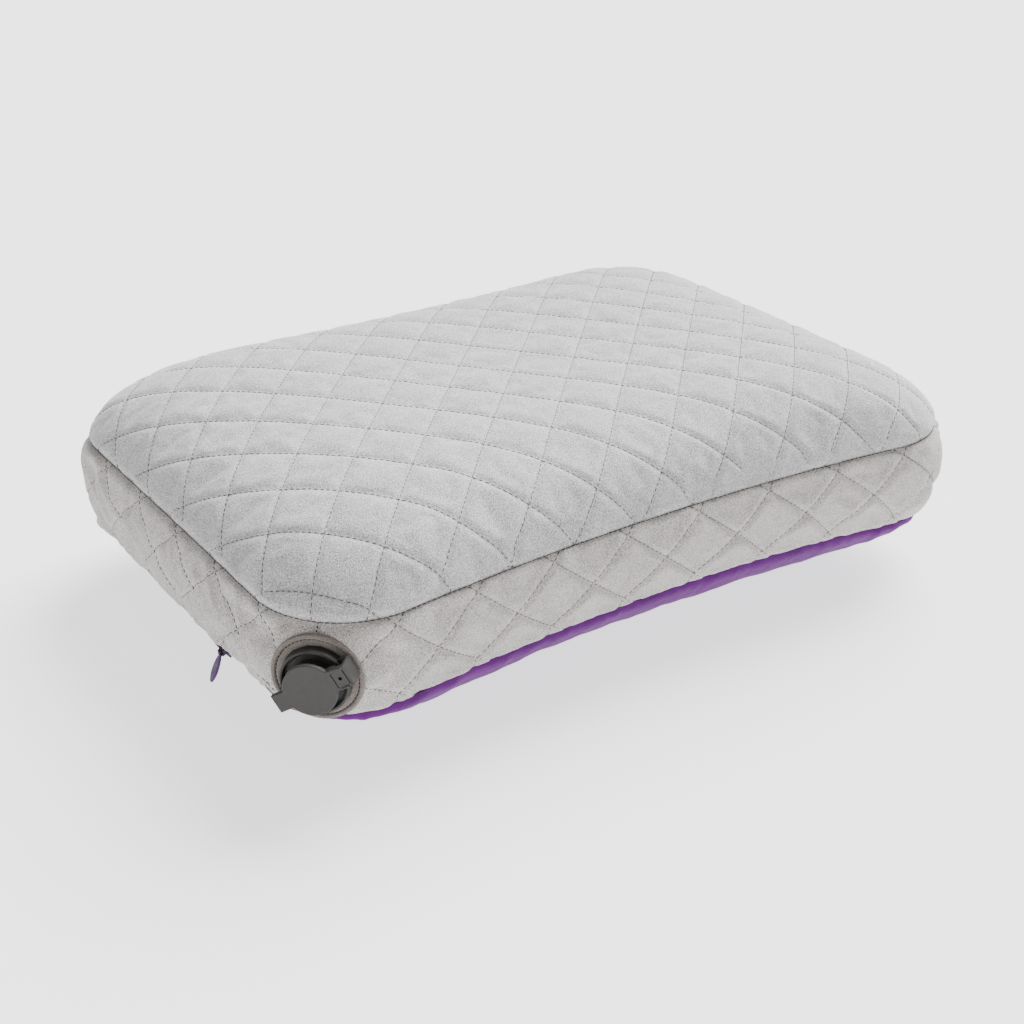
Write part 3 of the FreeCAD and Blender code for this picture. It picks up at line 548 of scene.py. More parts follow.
def valve_frame():
    """Axes and origin of the valve: to its right, up and out of the pillow."""
    angle = math.radians(VALVE_ANGLE)
    up, outward = Vector((0, 0, 1)), Vector((math.cos(angle), math.sin(angle), 0))
    level = (VALVE_HEIGHT - BOTTOM_SEAM) / SEAM_GAP
    swell = 4 * level * (1 - level) * BAND_BULGE - (1 - level) * BOTTOM_INSET
    corner = Vector((CORNER_RADIUS - HALF_LENGTH, CORNER_RADIUS - HALF_WIDTH, VALVE_HEIGHT))
    origin = corner + outward * (CORNER_RADIUS + swell)
    return np.array([up.cross(outward), up, outward]), np.array(origin)


VALVE_AXES, VALVE_ORIGIN = valve_frame()


def to_valve(points):
    """The CAD model's frame to the valve frame: right, up, outward."""
    return (points - VALVE_ORIGIN) @ VALVE_AXES.T


def from_valve(points):
    """Valve frame to the CAD model's frame."""
    return points @ VALVE_AXES + VALVE_ORIGIN


def valve_distance(local):
    """Distance from the valve's axis, endless on the pillow's other sides."""
    return np.where(local[:, 2] > VALVE_BACK, np.hypot(local[:, 0], local[:, 1]), np.inf)


def smooth_step(value, start, end):
    t = np.clip((value - start) / (end - start), 0, 1)
    return t * t * (3 - 2 * t)


def make_band():
    """The quilted band as a diamond grid whose edges lie along its stitched lines."""
    across, down = BAND_STEPS_ROUND, BAND_STEPS_DOWN
    rows, index, cloth = [], {}, []
    for j in range(down + 1):
        u = 1 - j / down
        inset = (1 - u) * BOTTOM_INSET - 4 * u * (1 - u) * BAND_BULGE
        flat, run = outline(inset, across)
        wave = u * TOP_WAVE + (1 - u) * BOTTOM_WAVE
        height = (BOTTOM_SEAM + u * SEAM_GAP
                  + seam_wave(flat[:, 0], flat[:, 1], wave, at_zipper=j == down))
        step = run / across
        first = 2 * round(BAND_FIRST_LINE / step / 2)
        second = 2 * round(BAND_SECOND_LINE / step / 2)
        for i in range(j % 2, across, 2):
            index[i, j] = len(rows)
            rows.append((flat[i, 0], flat[i, 1], height[i]))
            cloth.append(((i - j - first) / BAND_CELL_STEPS, (i + j - second) / BAND_CELL_STEPS))
    faces = []
    for (i, j), k in index.items():
        left, right = index.get(((i - 1) % across, j + 1)), index.get(((i + 1) % across, j + 1))
        below, beside = index.get((i, j + 2)), index.get(((i + 2) % across, j))
        if below is not None:
            faces.append([k, left, below, right])
        if j == 0:
            faces.append([k, right, beside])
        if j == down:
            above = index[(i + 1) % across, j - 1]
            faces.append([k, beside, above])
    return np.array(rows), faces, np.array(cloth)


def flatten_at_valve(points):
    """Press the band flat under the valve's patch, less so near the seams."""
    local = to_valve(points)
    reach = np.hypot(local[:, 0], local[:, 1])
    weight = 1 - smooth_step(reach, PATCH_RADIUS - 1.0, PATCH_RADIUS + 9.0)
    weight = weight * (local[:, 2] > VALVE_BACK)
    weight *= 1 - smooth_step(np.abs(local[:, 1]), PATCH_RADIUS - 2.5, PATCH_RADIUS + 1.0)
    local[:, 2] += weight * (PATCH_PLANE - local[:, 2])
    return from_valve(local)


# ---- bottom panel

BASE_ROUND = 620
BASE_SHARES = [1.0, 0.9965, 0.992, 0.986, 0.979, 0.971, 0.962, 0.952, 0.941, 0.929, 0.916, 0.902]
BASE_SHARES += [0.902 - 0.0155 * k for k in range(1, 56)]


def zipper_frame():
    """Axes of the zipper, along the teeth, down and outwards, its middle and its half length."""
    low, high = box_mm("zipper_tape_upper")
    low2, high2 = box_mm("zipper_tape_lower")
    middle = 0.25 * (low + high + low2 + high2)
    down = (low2 + high2 - low - high) / 2
    down[1] = 0
    down /= np.linalg.norm(down)
    along = np.array([0.0, 1.0, 0.0])
    return np.array([along, down, np.cross(along, down)]), middle, 0.5 * (high[1] - low[1])


ZIP_AXES, ZIP_MIDDLE, ZIP_HALF = zipper_frame()


def make_bottom():
    """The nylon underside as rings that follow its outline in to a small middle face."""
    rows = []
    for share in BASE_SHARES:
        flat, _ = outline(BOTTOM_INSET, BASE_ROUND, share)
        height = base_height(flat[:, 0], flat[:, 1], np.full(BASE_ROUND, share))
        rows.append(np.column_stack([flat, height]))
    faces = ring_faces(len(rows), BASE_ROUND)
    last = (len(rows) - 1) * BASE_ROUND
    faces.append([last + i for i in reversed(range(BASE_ROUND))])
    points = np.vstack(rows)
    return points, faces, points[:, :2] / 100


def cut_zipper_slot(piece):
    """Open the nylon between the seam and the far edge of the zipper's tapes."""
    middles = face_middles(piece)
    local = (middles - ZIP_MIDDLE) @ ZIP_AXES.T
    cut_faces(piece, (np.abs(local[:, 0]) < ZIP_HALF) & (local[:, 1] < TAPE_REACH)
              & (middles[:, 0] < -160) & (np.abs(local[:, 2]) < 12))
    # lay the nylon beside the opening on the tapes
    points = get_points(piece)
    local = (points - ZIP_MIDDLE) @ ZIP_AXES.T
    beside = (np.abs(local[:, 0]) < ZIP_HALF + 1) & (points[:, 0] < -160)
    weight = beside * np.exp(-((local[:, 1] - TAPE_REACH) / 5.0) ** 2)
    local[:, 2] += weight * (0.35 - local[:, 2])
    set_points(piece, local @ ZIP_AXES + ZIP_MIDDLE)


# ---- stitching

def grid_lines(piece):
    """Runs of vertices along the stitched lines of a panel, with their normals."""
    points, normals, cloth = read_piece(piece)
    rim = np.array(boundary_vertices(piece))
    surface = BVHTree.FromPolygons(points.tolist(), [f.vertices[:] for f in piece.data.polygons])

    def to_rim(tip, axis, value):
        """Points and normals on the surface from a run's end to the panel's edge."""
        gap = np.linalg.norm(points[rim] - points[tip], axis=1)
        out_of_reach = (gap > 9.0) | (gap < 0.8)
        off = np.abs(cloth[rim, axis] - value) + 10 * out_of_reach
        if off.min() > 0.03:
            return np.empty((0, 3)), np.empty((0, 3))
        chord = np.linspace(points[tip], points[rim[off.argmin()]], 6)[1:]
        found = [surface.find_nearest(spot)[:2] for spot in chord]
        return np.array([f[0] for f in found]), np.array([f[1] for f in found])

    runs = []
    for axis in (0, 1):
        level = np.round(cloth[:, axis])
        on = np.abs(cloth[:, axis] - level) < 0.012
        for value in np.unique(level[on]):
            pick = np.flatnonzero(on & (level == value))
            order = pick[np.argsort(cloth[pick, 1 - axis])]
            # a jump means that the line left the panel and came back
            jump = np.linalg.norm(np.diff(points[order], axis=0), axis=1) > 6.0
            for part in np.split(order, np.flatnonzero(jump) + 1):
                if len(part) > 3:
                    start, end = to_rim(part[0], axis, value), to_rim(part[-1], axis, value)
                    runs.append((np.vstack([start[0][::-1], points[part], end[0]]),
                                 np.vstack([start[1][::-1], normals[part], end[1]])))
    return runs


def stitches(name, runs, pitch, length, thickness, lift=0.0):
    """Short threads laid end to end along runs of points, as one piece."""
    def read_at(places, run, values):
        return np.column_stack([np.interp(places, run, values[:, k]) for k in range(3)])

    starts, ends, ups = [], [], []
    for points, normals in runs:
        step = np.linalg.norm(np.diff(points, axis=0), axis=1)
        run = np.concatenate([[0], np.cumsum(step)])
        count = int(run[-1] / pitch)
        middle = (np.arange(count) + 0.5) * run[-1] / max(count, 1)
        starts.append(read_at(middle - length / 2, run, points))
        ends.append(read_at(middle + length / 2, run, points))
        ups.append(read_at(middle, run, normals))
    start, end, up = (np.vstack(part) for part in (starts, ends, ups))
    up /= np.linalg.norm(up, axis=1, keepdims=True)
    side = np.cross(end - start, up)
    side /= np.linalg.norm(side, axis=1, keepdims=True)
    sides, verts = 5, []
    # share of the stitch's length, share of its thickness, and how far it bows up
    rows = [(0.0, 0.0, 0.0), (0.2, 0.9, 0.8), (0.8, 0.9, 0.8), (1.0, 0.0, 0.0)]
    for share, girth, rise in rows:
        middle = start + share * (end - start) + up * (lift + rise * 0.3 * thickness)
        if girth == 0:
            verts.append(middle)
            continue
        for k in range(sides):
            angle = 2 * math.pi * k / sides
            reach = 0.5 * thickness * girth
            verts.append(middle + reach * (math.cos(angle) * side + math.sin(angle) * up))
    block = len(verts)
    points = np.stack(verts, axis=1).reshape(-1, 3)
    ring = [(1 + k, 1 + (k + 1) % sides) for k in range(sides)]
    shape = [[0, n, k] for k, n in ring] + [[k, n, n + sides, k + sides] for k, n in ring]
    shape += [[k + sides, n + sides, block - 1] for k, n in ring]
    faces = [[v + block * n for v in face] for n in range(len(start)) for face in shape]
    return new_piece(name, points, faces)


# ---- procedural materials, whose colours are sRGB levels from 0 to 255

def node_material(name, roughness, **constants):
    """An empty principled material; the constants go on the shader's own sockets."""
    made = bpy.data.materials.new(name)
    made.use_nodes = True
    tree = made.node_tree
    shader = tree.nodes["Principled BSDF"]
    shader.inputs["Roughness"].default_value = roughness
    for key, value in constants.items():
        shader.inputs[key.replace("_", " ")].default_value = value
    return made, tree, shader


def add_node(tree, kind, links=None, **settings):
    """A node with its settings, and with its inputs linked to a socket or set to a value."""
    node = tree.nodes.new(kind)
    for key, value in settings.items():
        setattr(node, key, value)
    for socket, source in (links or {}).items():
        target = node.inputs[socket]
        if isinstance(source, bpy.types.NodeSocket):
            tree.links.new(source, target)
        else:
            target.default_value = source
    return node


def coordinates(tree, scale=(1, 1, 1), turn=(0, 0, 0)):
    """Object coordinates in millimetres, stretched and turned."""
    place = add_node(tree, "ShaderNodeTexCoord")
    mapping = add_node(tree, "ShaderNodeMapping", {
        "Vector": place.outputs["Object"], "Scale": [s / MM for s in scale], "Rotation": turn})
    return mapping.outputs["Vector"]


def noise_value(tree, place, size, detail=2.0, rough=0.5):
    """Noise with features about `size` mm across."""
    made = add_node(tree, "ShaderNodeTexNoise", {
        "Vector": place, "Scale": 1.0 / size, "Detail": detail, "Roughness": rough})
    return made.outputs["Fac"]


def spread(tree, value, low, high, new_low=0.0, new_high=1.0):
    """A value remapped from one range to another."""
    made = add_node(tree, "ShaderNodeMapRange", {
        "Value": value, "From Min": low, "From Max": high,
        "To Min": new_low, "To Max": new_high})
    return made.outputs["Result"]


def calculate(tree, operation, first, second):
    made = add_node(tree, "ShaderNodeMath", {0: first, 1: second}, operation=operation)
    return made.outputs["Value"]


def weighted_sum(tree, *parts):
    """Sum of values, each times its weight."""
    scaled = [calculate(tree, "MULTIPLY", value, weight) for value, weight in parts]
    total = scaled[0]
    for part in scaled[1:]:
        total = calculate(tree, "ADD", total, part)
    return total


def srgb(*levels):
    """Linear colour of sRGB levels."""
    return tuple(((v / 255 + 0.055) / 1.055) ** 2.4 for v in levels)


def paint(tree, shader, share, dark, light):
    """Base colour that goes from a dark to a light sRGB colour with a value."""
    made = add_node(tree, "ShaderNodeMix", {
        "Factor": share, 6: (*srgb(*dark), 1), 7: (*srgb(*light), 1)}, data_type="RGBA")
    tree.links.new(made.outputs[2], shader.inputs["Base Color"])


def add_bump(tree, shader, height, distance, strength=1.0):
    """Relief of a height value, `distance` mm deep."""
    made = add_node(tree, "ShaderNodeBump", {
        "Height": height, "Distance": distance * MM, "Strength": strength})
    tree.links.new(made.outputs["Normal"], shader.inputs["Normal"])


def microfibre(name, dark, light):
    """Brushed suede-like knit: fine nap grain, flecks and soft cloudy brushing marks."""
    made, tree, shader = node_material(name, 0.92, Sheen_Weight=0.25, Sheen_Roughness=0.5,
                                       Specular_IOR_Level=0.2)
    place = coordinates(tree)
    slanted = coordinates(tree, (1.0, 0.62, 0.9), (0.3, 0.5, 0.7))
    nap = noise_value(tree, slanted, 0.46, 2.0, 0.5)
    fuzz = noise_value(tree, place, 0.27, 1.0, 0.5)
    clouds = noise_value(tree, place, 16.0, 3.0, 0.55)
    fleck = weighted_sum(tree, (nap, 0.6), (fuzz, 0.4))
    fine = spread(tree, fleck, 0.37, 0.63)
    broad = spread(tree, clouds, 0.35, 0.65)
    paint(tree, shader, weighted_sum(tree, (fine, 0.9), (broad, 0.1)), dark, light)
    add_bump(tree, shader, fleck, 0.7)
    return made


def weave(name, dark, light, pitch, roughness, sheen, wrinkle=0.0, specular=0.35):
    """Plain weave of fine threads, with optional soft wrinkles."""
    made, tree, shader = node_material(name, roughness, Sheen_Weight=sheen, Sheen_Roughness=0.4,
                                       Specular_IOR_Level=specular)
    place = coordinates(tree)
    threads = []
    # the node's bands repeat every 0.314 at scale 1
    for axis, phase in (("X", 0.0), ("Y", 1.3)):
        wave = add_node(tree, "ShaderNodeTexWave", {
            "Vector": place, "Scale": 0.314 / pitch, "Distortion": 0.6, "Detail": 1.0,
            "Phase Offset": phase}, bands_direction=axis)
        threads.append(wave.outputs["Fac"])
    knots = calculate(tree, "MULTIPLY", *threads)
    slub = noise_value(tree, coordinates(tree, (0.4, 1.0, 1.0)), 1.6, 3.0, 0.6)
    clouds = noise_value(tree, place, 22.0, 2.0, 0.5)
    share = weighted_sum(tree, (knots, 0.25), (slub, 0.55), (clouds, 0.3))
    paint(tree, shader, share, dark, light)
    creases = noise_value(tree, coordinates(tree, (1.0, 0.35, 1.0), (0, 0, 0.6)), 9.0, 4.0, 0.55)
    add_bump(tree, shader, weighted_sum(tree, (knots, 0.1), (creases, wrinkle)), 0.8)
    return made


def moulded(name, dark, light, roughness, grain=0.4, specular=0.35):
    """Moulded plastic: fine spark-eroded texture, faint flow clouds and scuffed patches."""
    made, tree, shader = node_material(name, roughness, Specular_IOR_Level=specular)
    place = coordinates(tree)
    texture = noise_value(tree, place, 0.3, 3.0, 0.6)
    clouds = noise_value(tree, place, 5.0, 3.0, 0.5)
    share = weighted_sum(tree, (texture, 0.45), (clouds, 0.55))
    paint(tree, shader, spread(tree, share, 0.3, 0.7), dark, light)
    worn = spread(tree, clouds, 0.35, 0.65, roughness - 0.12, roughness + 0.12)
    tree.links.new(worn, shader.inputs["Roughness"])
    add_bump(tree, shader, texture, 0.12, grain)
    return made


def lacquered(name, dark, light):
    """Painted die-cast metal with slightly worn, uneven gloss."""
    made, tree, shader = node_material(name, 0.35, Metallic=0.55, Coat_Weight=0.3,
                                       Coat_Roughness=0.25)
    place = coordinates(tree)
    rub = noise_value(tree, place, 0.8, 4.0, 0.6)
    paint(tree, shader, spread(tree, rub, 0.4, 0.68), dark, light)
    tree.links.new(spread(tree, rub, 0.3, 0.7, 0.28, 0.5), shader.inputs["Roughness"])
    add_bump(tree, shader, rub, 0.05, 0.5)
    return made


def batting_fibres(name):
    """Loose white fibres."""
    made, tree, shader = node_material(name, 0.95, Sheen_Weight=0.2)
    place = coordinates(tree, (1.0, 1.0, 3.0), (0.2, 0.4, 0.3))
    fibres = noise_value(tree, place, 1.2, 6.0, 0.7)
    paint(tree, shader, fibres, (205, 205, 202), (248, 248, 246))
    add_bump(tree, shader, fibres, 1.0, 0.8)
    return made


def film(name):
    """Welded polyurethane film with a faint orange-peel and milky clouds."""
    made, tree, shader = node_material(name, 0.32, Specular_IOR_Level=0.5, Coat_Weight=0.2,
                                       Coat_Roughness=0.2)
    place = coordinates(tree)
    milk = noise_value(tree, place, 30.0, 3.0, 0.5)
    peel = noise_value(tree, place, 1.5, 2.0, 0.5)
    paint(tree, shader, milk, (150, 150, 156), (186, 186, 192))
    add_bump(tree, shader, peel, 0.15, 0.6)
    return made


materials = {
    "quilted_face": microfibre("quilted_microfibre", (118, 116, 117), (238, 236, 237)),
    # the band is the same fabric as the top, coloured a little warmer: painted warm reflected
    # light on the band
    "band_face": microfibre("band_microfibre_painted_warm_bounce", (118, 113, 111), (234, 228, 225)),
    "batting": batting_fibres("batting_fibres"),
    "lining": weave("lining_weave", (178, 178, 182), (214, 214, 218), 0.5, 0.8, 0.1),
    "nylon": weave("purple_nylon", (62, 12, 80), (116, 38, 136), 0.28, 0.58, 0.0,
                   wrinkle=0.6, specular=0.16),
    "air_film": film("air_core_film"),
    "patch": microfibre("patch_laminate", (96, 90, 86), (142, 133, 127)),
    "valve_plastic": moulded("valve_moulding", (46, 45, 44), (66, 65, 63), 0.5, specular=0.25),
    "silicone": moulded("silicone_flap", (168, 168, 168), (198, 198, 198), 0.42, 0.2),
    "zip_tape": weave("zipper_tape", (58, 34, 78), (104, 66, 128), 0.35, 0.75, 0.1),
    "zip_coil": moulded("zipper_coil", (44, 28, 62), (74, 50, 96), 0.42),
    "zip_metal": lacquered("zipper_lacquer", (28, 20, 42), (62, 48, 84)),
    "zip_pull": moulded("pull_moulding", (46, 20, 66), (84, 48, 108), 0.45),
    # real grey stitching, coloured darker than the thread itself: painted shade of its needle
    # holes and furrows
    "thread": moulded("sewing_thread_painted_shade", (58, 58, 60), (96, 96, 98), 0.85, 0.6),
    # real seam stitching, coloured near black: also painted shade of the seam grooves it lies in
    "seam_thread": moulded("seam_thread", (30, 30, 32), (60, 60, 62), 0.85, 0.6),
}
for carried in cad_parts.values():
    for slot in carried.material_slots:
        slot.material = materials[slot.name.split(".")[0]]


def dress(piece, finish):
    """Give a piece its material."""
    piece.data.materials.clear()
    piece.data.materials.append(materials[finish])


# ---- build the cover

def keep_above(points, start, normals):
    """Lift points that sank more than MOST_SUNK under the blown-up shape."""
    sunk = ((points - start) * normals).sum(axis=1)
    return points + normals * np.maximum(-MOST_SUNK - sunk, 0)[:, None]


def stay_outside(points, normals, node, gap):
    """Lift points less than `gap` above a hidden CAD part, so that it never shows through."""
    part = bpy.data.objects[node]
    corners = [part.matrix_world @ vertex.co / MM for vertex in part.data.vertices]
    surface = BVHTree.FromPolygons(corners, [face.vertices[:] for face in part.data.polygons])
    lift = np.zeros(len(points))
    for k, (point, normal) in enumerate(zip(points, normals)):
        spot, facing, _, _ = surface.find_nearest(Vector(point), 4.0)
        if spot is not None and facing.dot(Vector(normal)) > 0.5:
            lift[k] = max(gap - (Vector(point) - spot).dot(facing), 0.0)
    return points + normals * lift[:, None]


def build_top():
    points, faces, cloth = make_top()
    piece = new_piece("quilted_top", points, faces, uv=cloth)
    hold = (line_gaps(cloth).min(axis=1) < ON_LINE).astype(float)
    hold[-SEAM_STEPS:] = 1.0
    inflate(piece, hold, pressure=12.0, slack=0.016, cap=1.6, bending=0.3)
    refine(piece)
    points, normals, cloth = read_piece(piece)
    start = points.copy()
    points = crease(points, normals, cloth, depth=0.5, width=1.5)
    points = draw_in(points, normals, TOP_SEAM_CURVE, 0.42, 3.0)
    set_points(piece, keep_above(points, start, normals))
    dress(piece, "quilted_face")
    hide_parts("top_panel")
    return piece


def loose_folds(points, cloth):
    """Soft slanting folds where the band is slack, at the valve end of the pillow."""
    slack = smooth_step(-points[:, 0], 140.0, 172.0)
    level = (points[:, 2] - BOTTOM_SEAM) / SEAM_GAP
    body = np.sin(math.pi * np.clip(level, 0, 1)) ** 0.7
    local = to_valve(points)
    clear = smooth_step(np.hypot(local[:, 0], local[:, 1]), PATCH_RADIUS, PATCH_RADIUS + 12.0)
    along = cloth.sum(axis=1) * BAND_CELL / 2
    down = (cloth[:, 1] - cloth[:, 0]) * BAND_CELL_DOWN / 2
    across_fold, along_fold = 0.755 * along - 0.656 * down, 0.656 * along + 0.755 * down
    slant = np.column_stack([across_fold, 0.22 * along_fold, np.zeros(len(points))])
    fold = smooth_noise(slant, 12.0, 53.0)
    ridge = 0.5 - 2.2 * np.abs(fold)
    return 1.6 * slack * body * clear * ridge


def zipper_lip(points):
    """The band's lower edge rolls out over the zipper's upper tape."""
    beside = (np.clip((-points[:, 0] - 170.0) / 8.0, 0, 1)
              * smooth_step(92.0 - np.abs(points[:, 1] - ZIP_MIDDLE_Y), 0.0, 16.0))
    above = points[:, 2] - (BOTTOM_SEAM - 0.5)
    roll = np.exp(-((above - 1.3) / 2.4) ** 2)
    return np.column_stack([-2.3 * beside * roll, np.zeros(len(points)), -0.3 * beside * roll])


def build_band():
    points, faces, cloth = make_band()
    points = flatten_at_valve(points)
    piece = new_piece("quilted_band", points, faces, uv=cloth)
    gaps = line_gaps(cloth)
    crossing = gaps.max(axis=1) < ON_LINE
    # at the slack valve end only the crossings of the stitched lines are held
    hold = (gaps.min(axis=1) < ON_LINE) * np.where(points[:, 0] < -150, 0.0, 1.0) + crossing
    hold = np.minimum(hold, 1.0)
    hold[boundary_vertices(piece)] = 1.0
    hold[valve_distance(to_valve(points)) < PATCH_RADIUS] = 1.0
    inflate(piece, hold, pressure=10.0, slack=0.05, cap=2.2, bending=0.08)
    refine(piece)
    points, normals, cloth = read_piece(piece)
    local, start = to_valve(points), points.copy()
    front = local[:, 2] > VALVE_BACK
    # the closing seam above the valve: no quilting lines cross it, and it sinks in
    join = (np.abs(local[:, 0]) < 2.5) & front
    points = np.where(join[:, None], points, crease(points, normals, cloth, depth=0.7, width=1.4))
    pinch = front * np.exp(-(local[:, 0] / 1.2) ** 2) * (local[:, 1] > PATCH_RADIUS)
    points = points - normals * (0.8 * pinch)[:, None]
    points = points + normals * loose_folds(start, cloth)[:, None]
    points = draw_in(points, normals, TOP_SEAM_CURVE, 0.5, 11.0)
    points = draw_in(points, normals, BOTTOM_SEAM_CURVE, 0.4, 23.0)
    points = keep_above(points, start, normals)
    # away from the seams' grooves and the patch, the batting must not show through
    open_cloth = ((np.abs(points[:, 2] - (BOTTOM_SEAM + TOP_SEAM) / 2) < SEAM_GAP / 2 - 3.0)
                  & (valve_distance(local) > PATCH_RADIUS + 2.0))
    points[open_cloth] = stay_outside(points, normals, "band_fill", gap=0.3)[open_cloth]
    set_points(piece, points + zipper_lip(start))
    cut_faces(piece, valve_distance(to_valve(face_middles(piece))) < NECK_RADIUS - 0.8)
    dress(piece, "band_face")
    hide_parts("side_band")
    return piece


def build_bottom():
    points, faces, cloth = make_bottom()
    piece = new_piece("nylon_underside", points, faces, uv=cloth)
    start, normals = get_points(piece), get_normals(piece)
    curve, _, run = BOTTOM_SEAM_CURVE
    index, distance = find_seam(start, curve)
    gathers = line_noise(run, 4.5, 41.0) + 0.7 * line_noise(run, 13.0, 43.0)
    corner = cornerness(start[:, 0], start[:, 1]) ** 2
    size = np.minimum(distance / 3.0, 1) * np.exp(-distance / 9.0) * (0.9 + 0.9 * corner)
    points = start + normals * (gathers[index] * size)[:, None]
    loose = smooth_noise(start, 30.0, 47.0) * np.minimum(distance / 10.0, 1)
    flat = np.clip(start[:, 2] / 4.0, 0, 1)
    crinkle = 1.0 - 2.0 * np.abs(smooth_noise(start * (1.0, 0.45, 1.0), 13.0, 59.0))
    points = points + normals * ((1.0 * loose + 0.45 * crinkle) * flat)[:, None]
    points[:, 2] = np.maximum(points[:, 2], 0.0)
    points = draw_in(points, normals, BOTTOM_SEAM_CURVE, 0.3, 29.0)
    points[:, 2] = np.maximum(points[:, 2], 0.0)
    set_points(piece, points)
    cut_zipper_slot(piece)
    dress(piece, "nylon")
    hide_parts("bottom_panel")
    return piece


def patch_circle(radius, height, angle, start):
    """Points round the valve, with soft waves that grow from `start` to the patch's edge."""
    ripple = 0.16 * np.sin(5 * angle + 0.7) + 0.1 * np.sin(9 * angle + 2.1)
    lift = height + ripple * smooth_step(radius, start, PATCH_RADIUS)
    return np.column_stack([radius * np.cos(angle), radius * np.sin(angle), lift])


def build_patch():
    """Round laminated patch round the valve's neck, with a pressed groove near its edge."""
    inner, outer = NECK_RADIUS + 0.05, PATCH_RADIUS
    profile = [(inner, -0.4), (inner, 0.42), (inner + 0.5, 0.5), (16.5, 0.5), (17.05, 0.42),
               (17.25, 0.02), (17.55, 0.02), (17.75, 0.7), (18.2, 0.86), (18.9, 0.82), (19.4, 0.6),
               (outer, 0.0), (outer, -0.5), (19.2, -0.9)]
    count = 160
    angle = np.linspace(0, 2 * math.pi, count, endpoint=False)
    rows = [patch_circle(radius, height, angle, inner) for radius, height in profile]
    faces = ring_faces(len(rows), count)
    piece = new_piece("valve_patch_cover", from_valve(np.vstack(rows)), faces)
    dress(piece, "patch")
    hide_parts("valve_patch")
    return piece


def seam_run(seam, depth, rise=0.0):
    """A closed run of points in a seam's groove, facing outwards."""
    curve, inward, _ = seam
    points = curve + inward * depth + np.array([0, 0, rise])
    return np.vstack([points, points[:1]]), np.vstack([-inward, -inward[:1]])


def patch_ring(radius, height):
    """A closed run of points round the valve on its patch."""
    angle = np.linspace(0, 2 * math.pi, 201)
    up = np.tile(VALVE_AXES[2], (len(angle), 1))
    return from_valve(patch_circle(radius, height, angle, NECK_RADIUS)), up


def join_run(piece):
    """The band's closing seam, from the patch up to the top seam."""
    points, normals = get_points(piece), get_normals(piece)
    local = to_valve(points)
    pick = np.flatnonzero((np.abs(local[:, 0]) < 0.7) & (local[:, 1] > PATCH_RADIUS - 1)
                          & (local[:, 2] > VALVE_BACK))
    order = pick[np.argsort(local[pick, 1])]
    local[order, 0] = 0
    return from_valve(local[order]), normals[order]


top, band = build_top(), build_band()
build_bottom()
build_patch()
# the quilting threads' dark colour is partly painted shade of the stitched furrows
for name, piece in (("top_quilting_thread", top), ("band_quilting_thread", band)):
    dress(stitches(name, grid_lines(piece), 2.8, 1.9, 0.42, lift=0.05), "thread")
# the seam_thread finish's near-black colour is partly painted shade of the grooves its threads lie
# in
for name, run, pitch, length, thickness, slot, finish in (
        ("top_seam_thread", seam_run(TOP_SEAM_CURVE, 0.75), 2.6, 2.45, 0.38,
         "quilted_face", "seam_thread"),
        ("bottom_seam_binding", seam_run(BOTTOM_SEAM_CURVE, 0.5, 0.3), 2.0, 2.3, 0.8,
         "nylon", "nylon"),
        ("join_thread", join_run(band), 1.2, 1.1, 0.5, "quilted_face", "seam_thread"),
        ("patch_thread", patch_ring(17.4, 0.05), 1.9, 1.65, 0.5, "patch", "seam_thread")):
    dress(stitches(name, [run], pitch, length, thickness), finish)


# ---- valve strap

def from_strap(x, y, z):
    """Strap frame, along, across and outward, to the CAD model's frame."""
    return from_valve(np.column_stack([*turned(x, y, math.radians(STRAP_ANGLE)), z]))


def squared(wave):
    """A sine or cosine made blunter, for bars with a squarish section."""
    return np.sign(wave) * np.abs(wave) ** 0.5


def strap_bars(name, body, start, end, middles, half_width, low, high):
    """Rounded bars along the strap as one piece, one at each of the places across it."""
    columns, sides = 9, 10
    points, faces = [], []
    angle = np.linspace(0, 2 * math.pi, sides, endpoint=False)
    for middle in middles:
        first = len(points) * sides
        for k in range(columns):
            shrink = 0.75 if k in (0, columns - 1) else 1.0
            across = middle + shrink * half_width * squared(np.cos(angle))
            lift = (low + high) / 2 + shrink * (high - low) / 2 * squared(np.sin(angle))
            along = np.full(sides, start + (end - start) * k / (columns - 1))
            points.append(from_strap(along, across, lift))
        faces += [[first + quad[k] for k in (0, 3, 2, 1)] for quad in ring_faces(columns, sides)]
        last = first + (columns - 1) * sides
        faces += [[first + i for i in reversed(range(sides))], [last + i for i in range(sides)]]
    piece = new_piece(name, np.vstack(points), faces, body)
    dress(piece, "valve_plastic")
    return piece


def hinge_web(name, at):
    """The moulding's thin ends that carry a living hinge across its slot."""
    middle = STRAP_HALF - HINGE_WEB / 2
    web = strap_bars(name, None, at - 0.75, at + 0.75, (-middle, middle), HINGE_WEB / 2,
                     STRAP_TOP - 0.5, STRAP_TOP + 0.03)
    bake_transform(web)


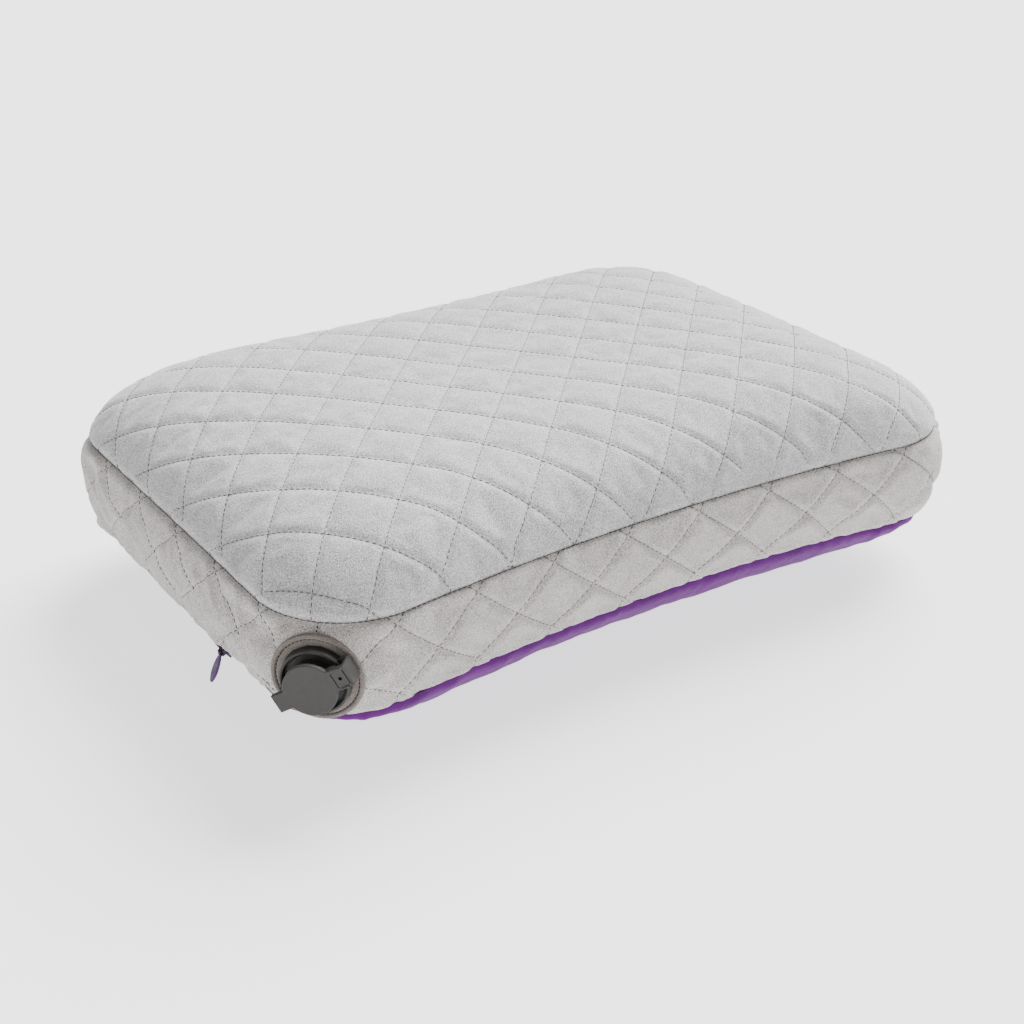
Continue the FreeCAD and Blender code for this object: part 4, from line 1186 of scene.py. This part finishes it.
hinge_web("cap_hinge_web", CAP_HINGE)
hinge_web("stage_hinge_web", STAGE_HINGE)
rim = STRAP_HALF - 0.4
strap_bars("strap_rims", "stage", CAP_HINGE + 0.9, STAGE_HINGE - 0.9, (-rim, rim), 0.36,
           STRAP_TOP - 0.15, STRAP_TOP + 0.4)


# ---- floor, light and camera

def build_floor():
    """A pale floor that glows a little, just below the pillow, 40 m across."""
    made = node_material("pale_floor", 0.95, Base_Color=(0.55, 0.55, 0.55, 1),
                         Specular_IOR_Level=0.0, Emission_Color=(1, 1, 1, 1),
                         Emission_Strength=1.65)[0]
    half = 20.0
    mesh = bpy.data.meshes.new("floor")
    mesh.from_pydata([(-half, -half, 0), (half, -half, 0), (half, half, 0), (-half, half, 0)],
                     [], [(0, 1, 2, 3)])
    mesh.materials.append(made)
    floor = add_object("floor", mesh)
    floor.location.z = -0.0006


def add_sun(name, direction, strength, softness, colour=(1, 1, 1)):
    """A sun that stands in a direction, `softness` degrees wide."""
    light = bpy.data.lights.new(name, "SUN")
    light.energy, light.angle, light.color = strength, math.radians(softness), colour
    add_object(name, light).rotation_euler = Vector(direction).to_track_quat("Z", "Y").to_euler()


def add_camera():
    """The camera that a fit to the photo's outline and seams gave."""
    azimuth, elevation = math.radians(-34.03), math.radians(25.32)
    back = Vector((math.sin(azimuth) * math.cos(elevation),
                   -math.cos(azimuth) * math.cos(elevation), math.sin(elevation)))
    lens = bpy.data.cameras.new("camera")
    lens.lens, lens.sensor_width = 58.97, 36.0
    lens.shift_x, lens.shift_y = -0.0043, -0.0498
    lens.clip_start, lens.clip_end = 0.01, 100.0
    camera = add_object("camera", lens)
    aim, distance = Vector((0, 0, 0.0526)), 0.8465
    camera.location = aim + back * distance
    camera.rotation_euler = back.to_track_quat("Z", "Y").to_euler()
    bpy.context.scene.camera = camera


build_floor()
add_sun("key", (0.75, 0.38, 0.75), 12.5, 45)
add_sun("fill", (-0.9, -0.5, 0.45), 0.5, 70, (1.0, 0.96, 0.92))
world = bpy.data.worlds.new("studio")
world.use_nodes = True
background = world.node_tree.nodes["Background"].inputs
background["Color"].default_value = (*srgb(239, 239, 239), 1)
background["Strength"].default_value = 0.3
bpy.context.scene.world = world
add_camera()
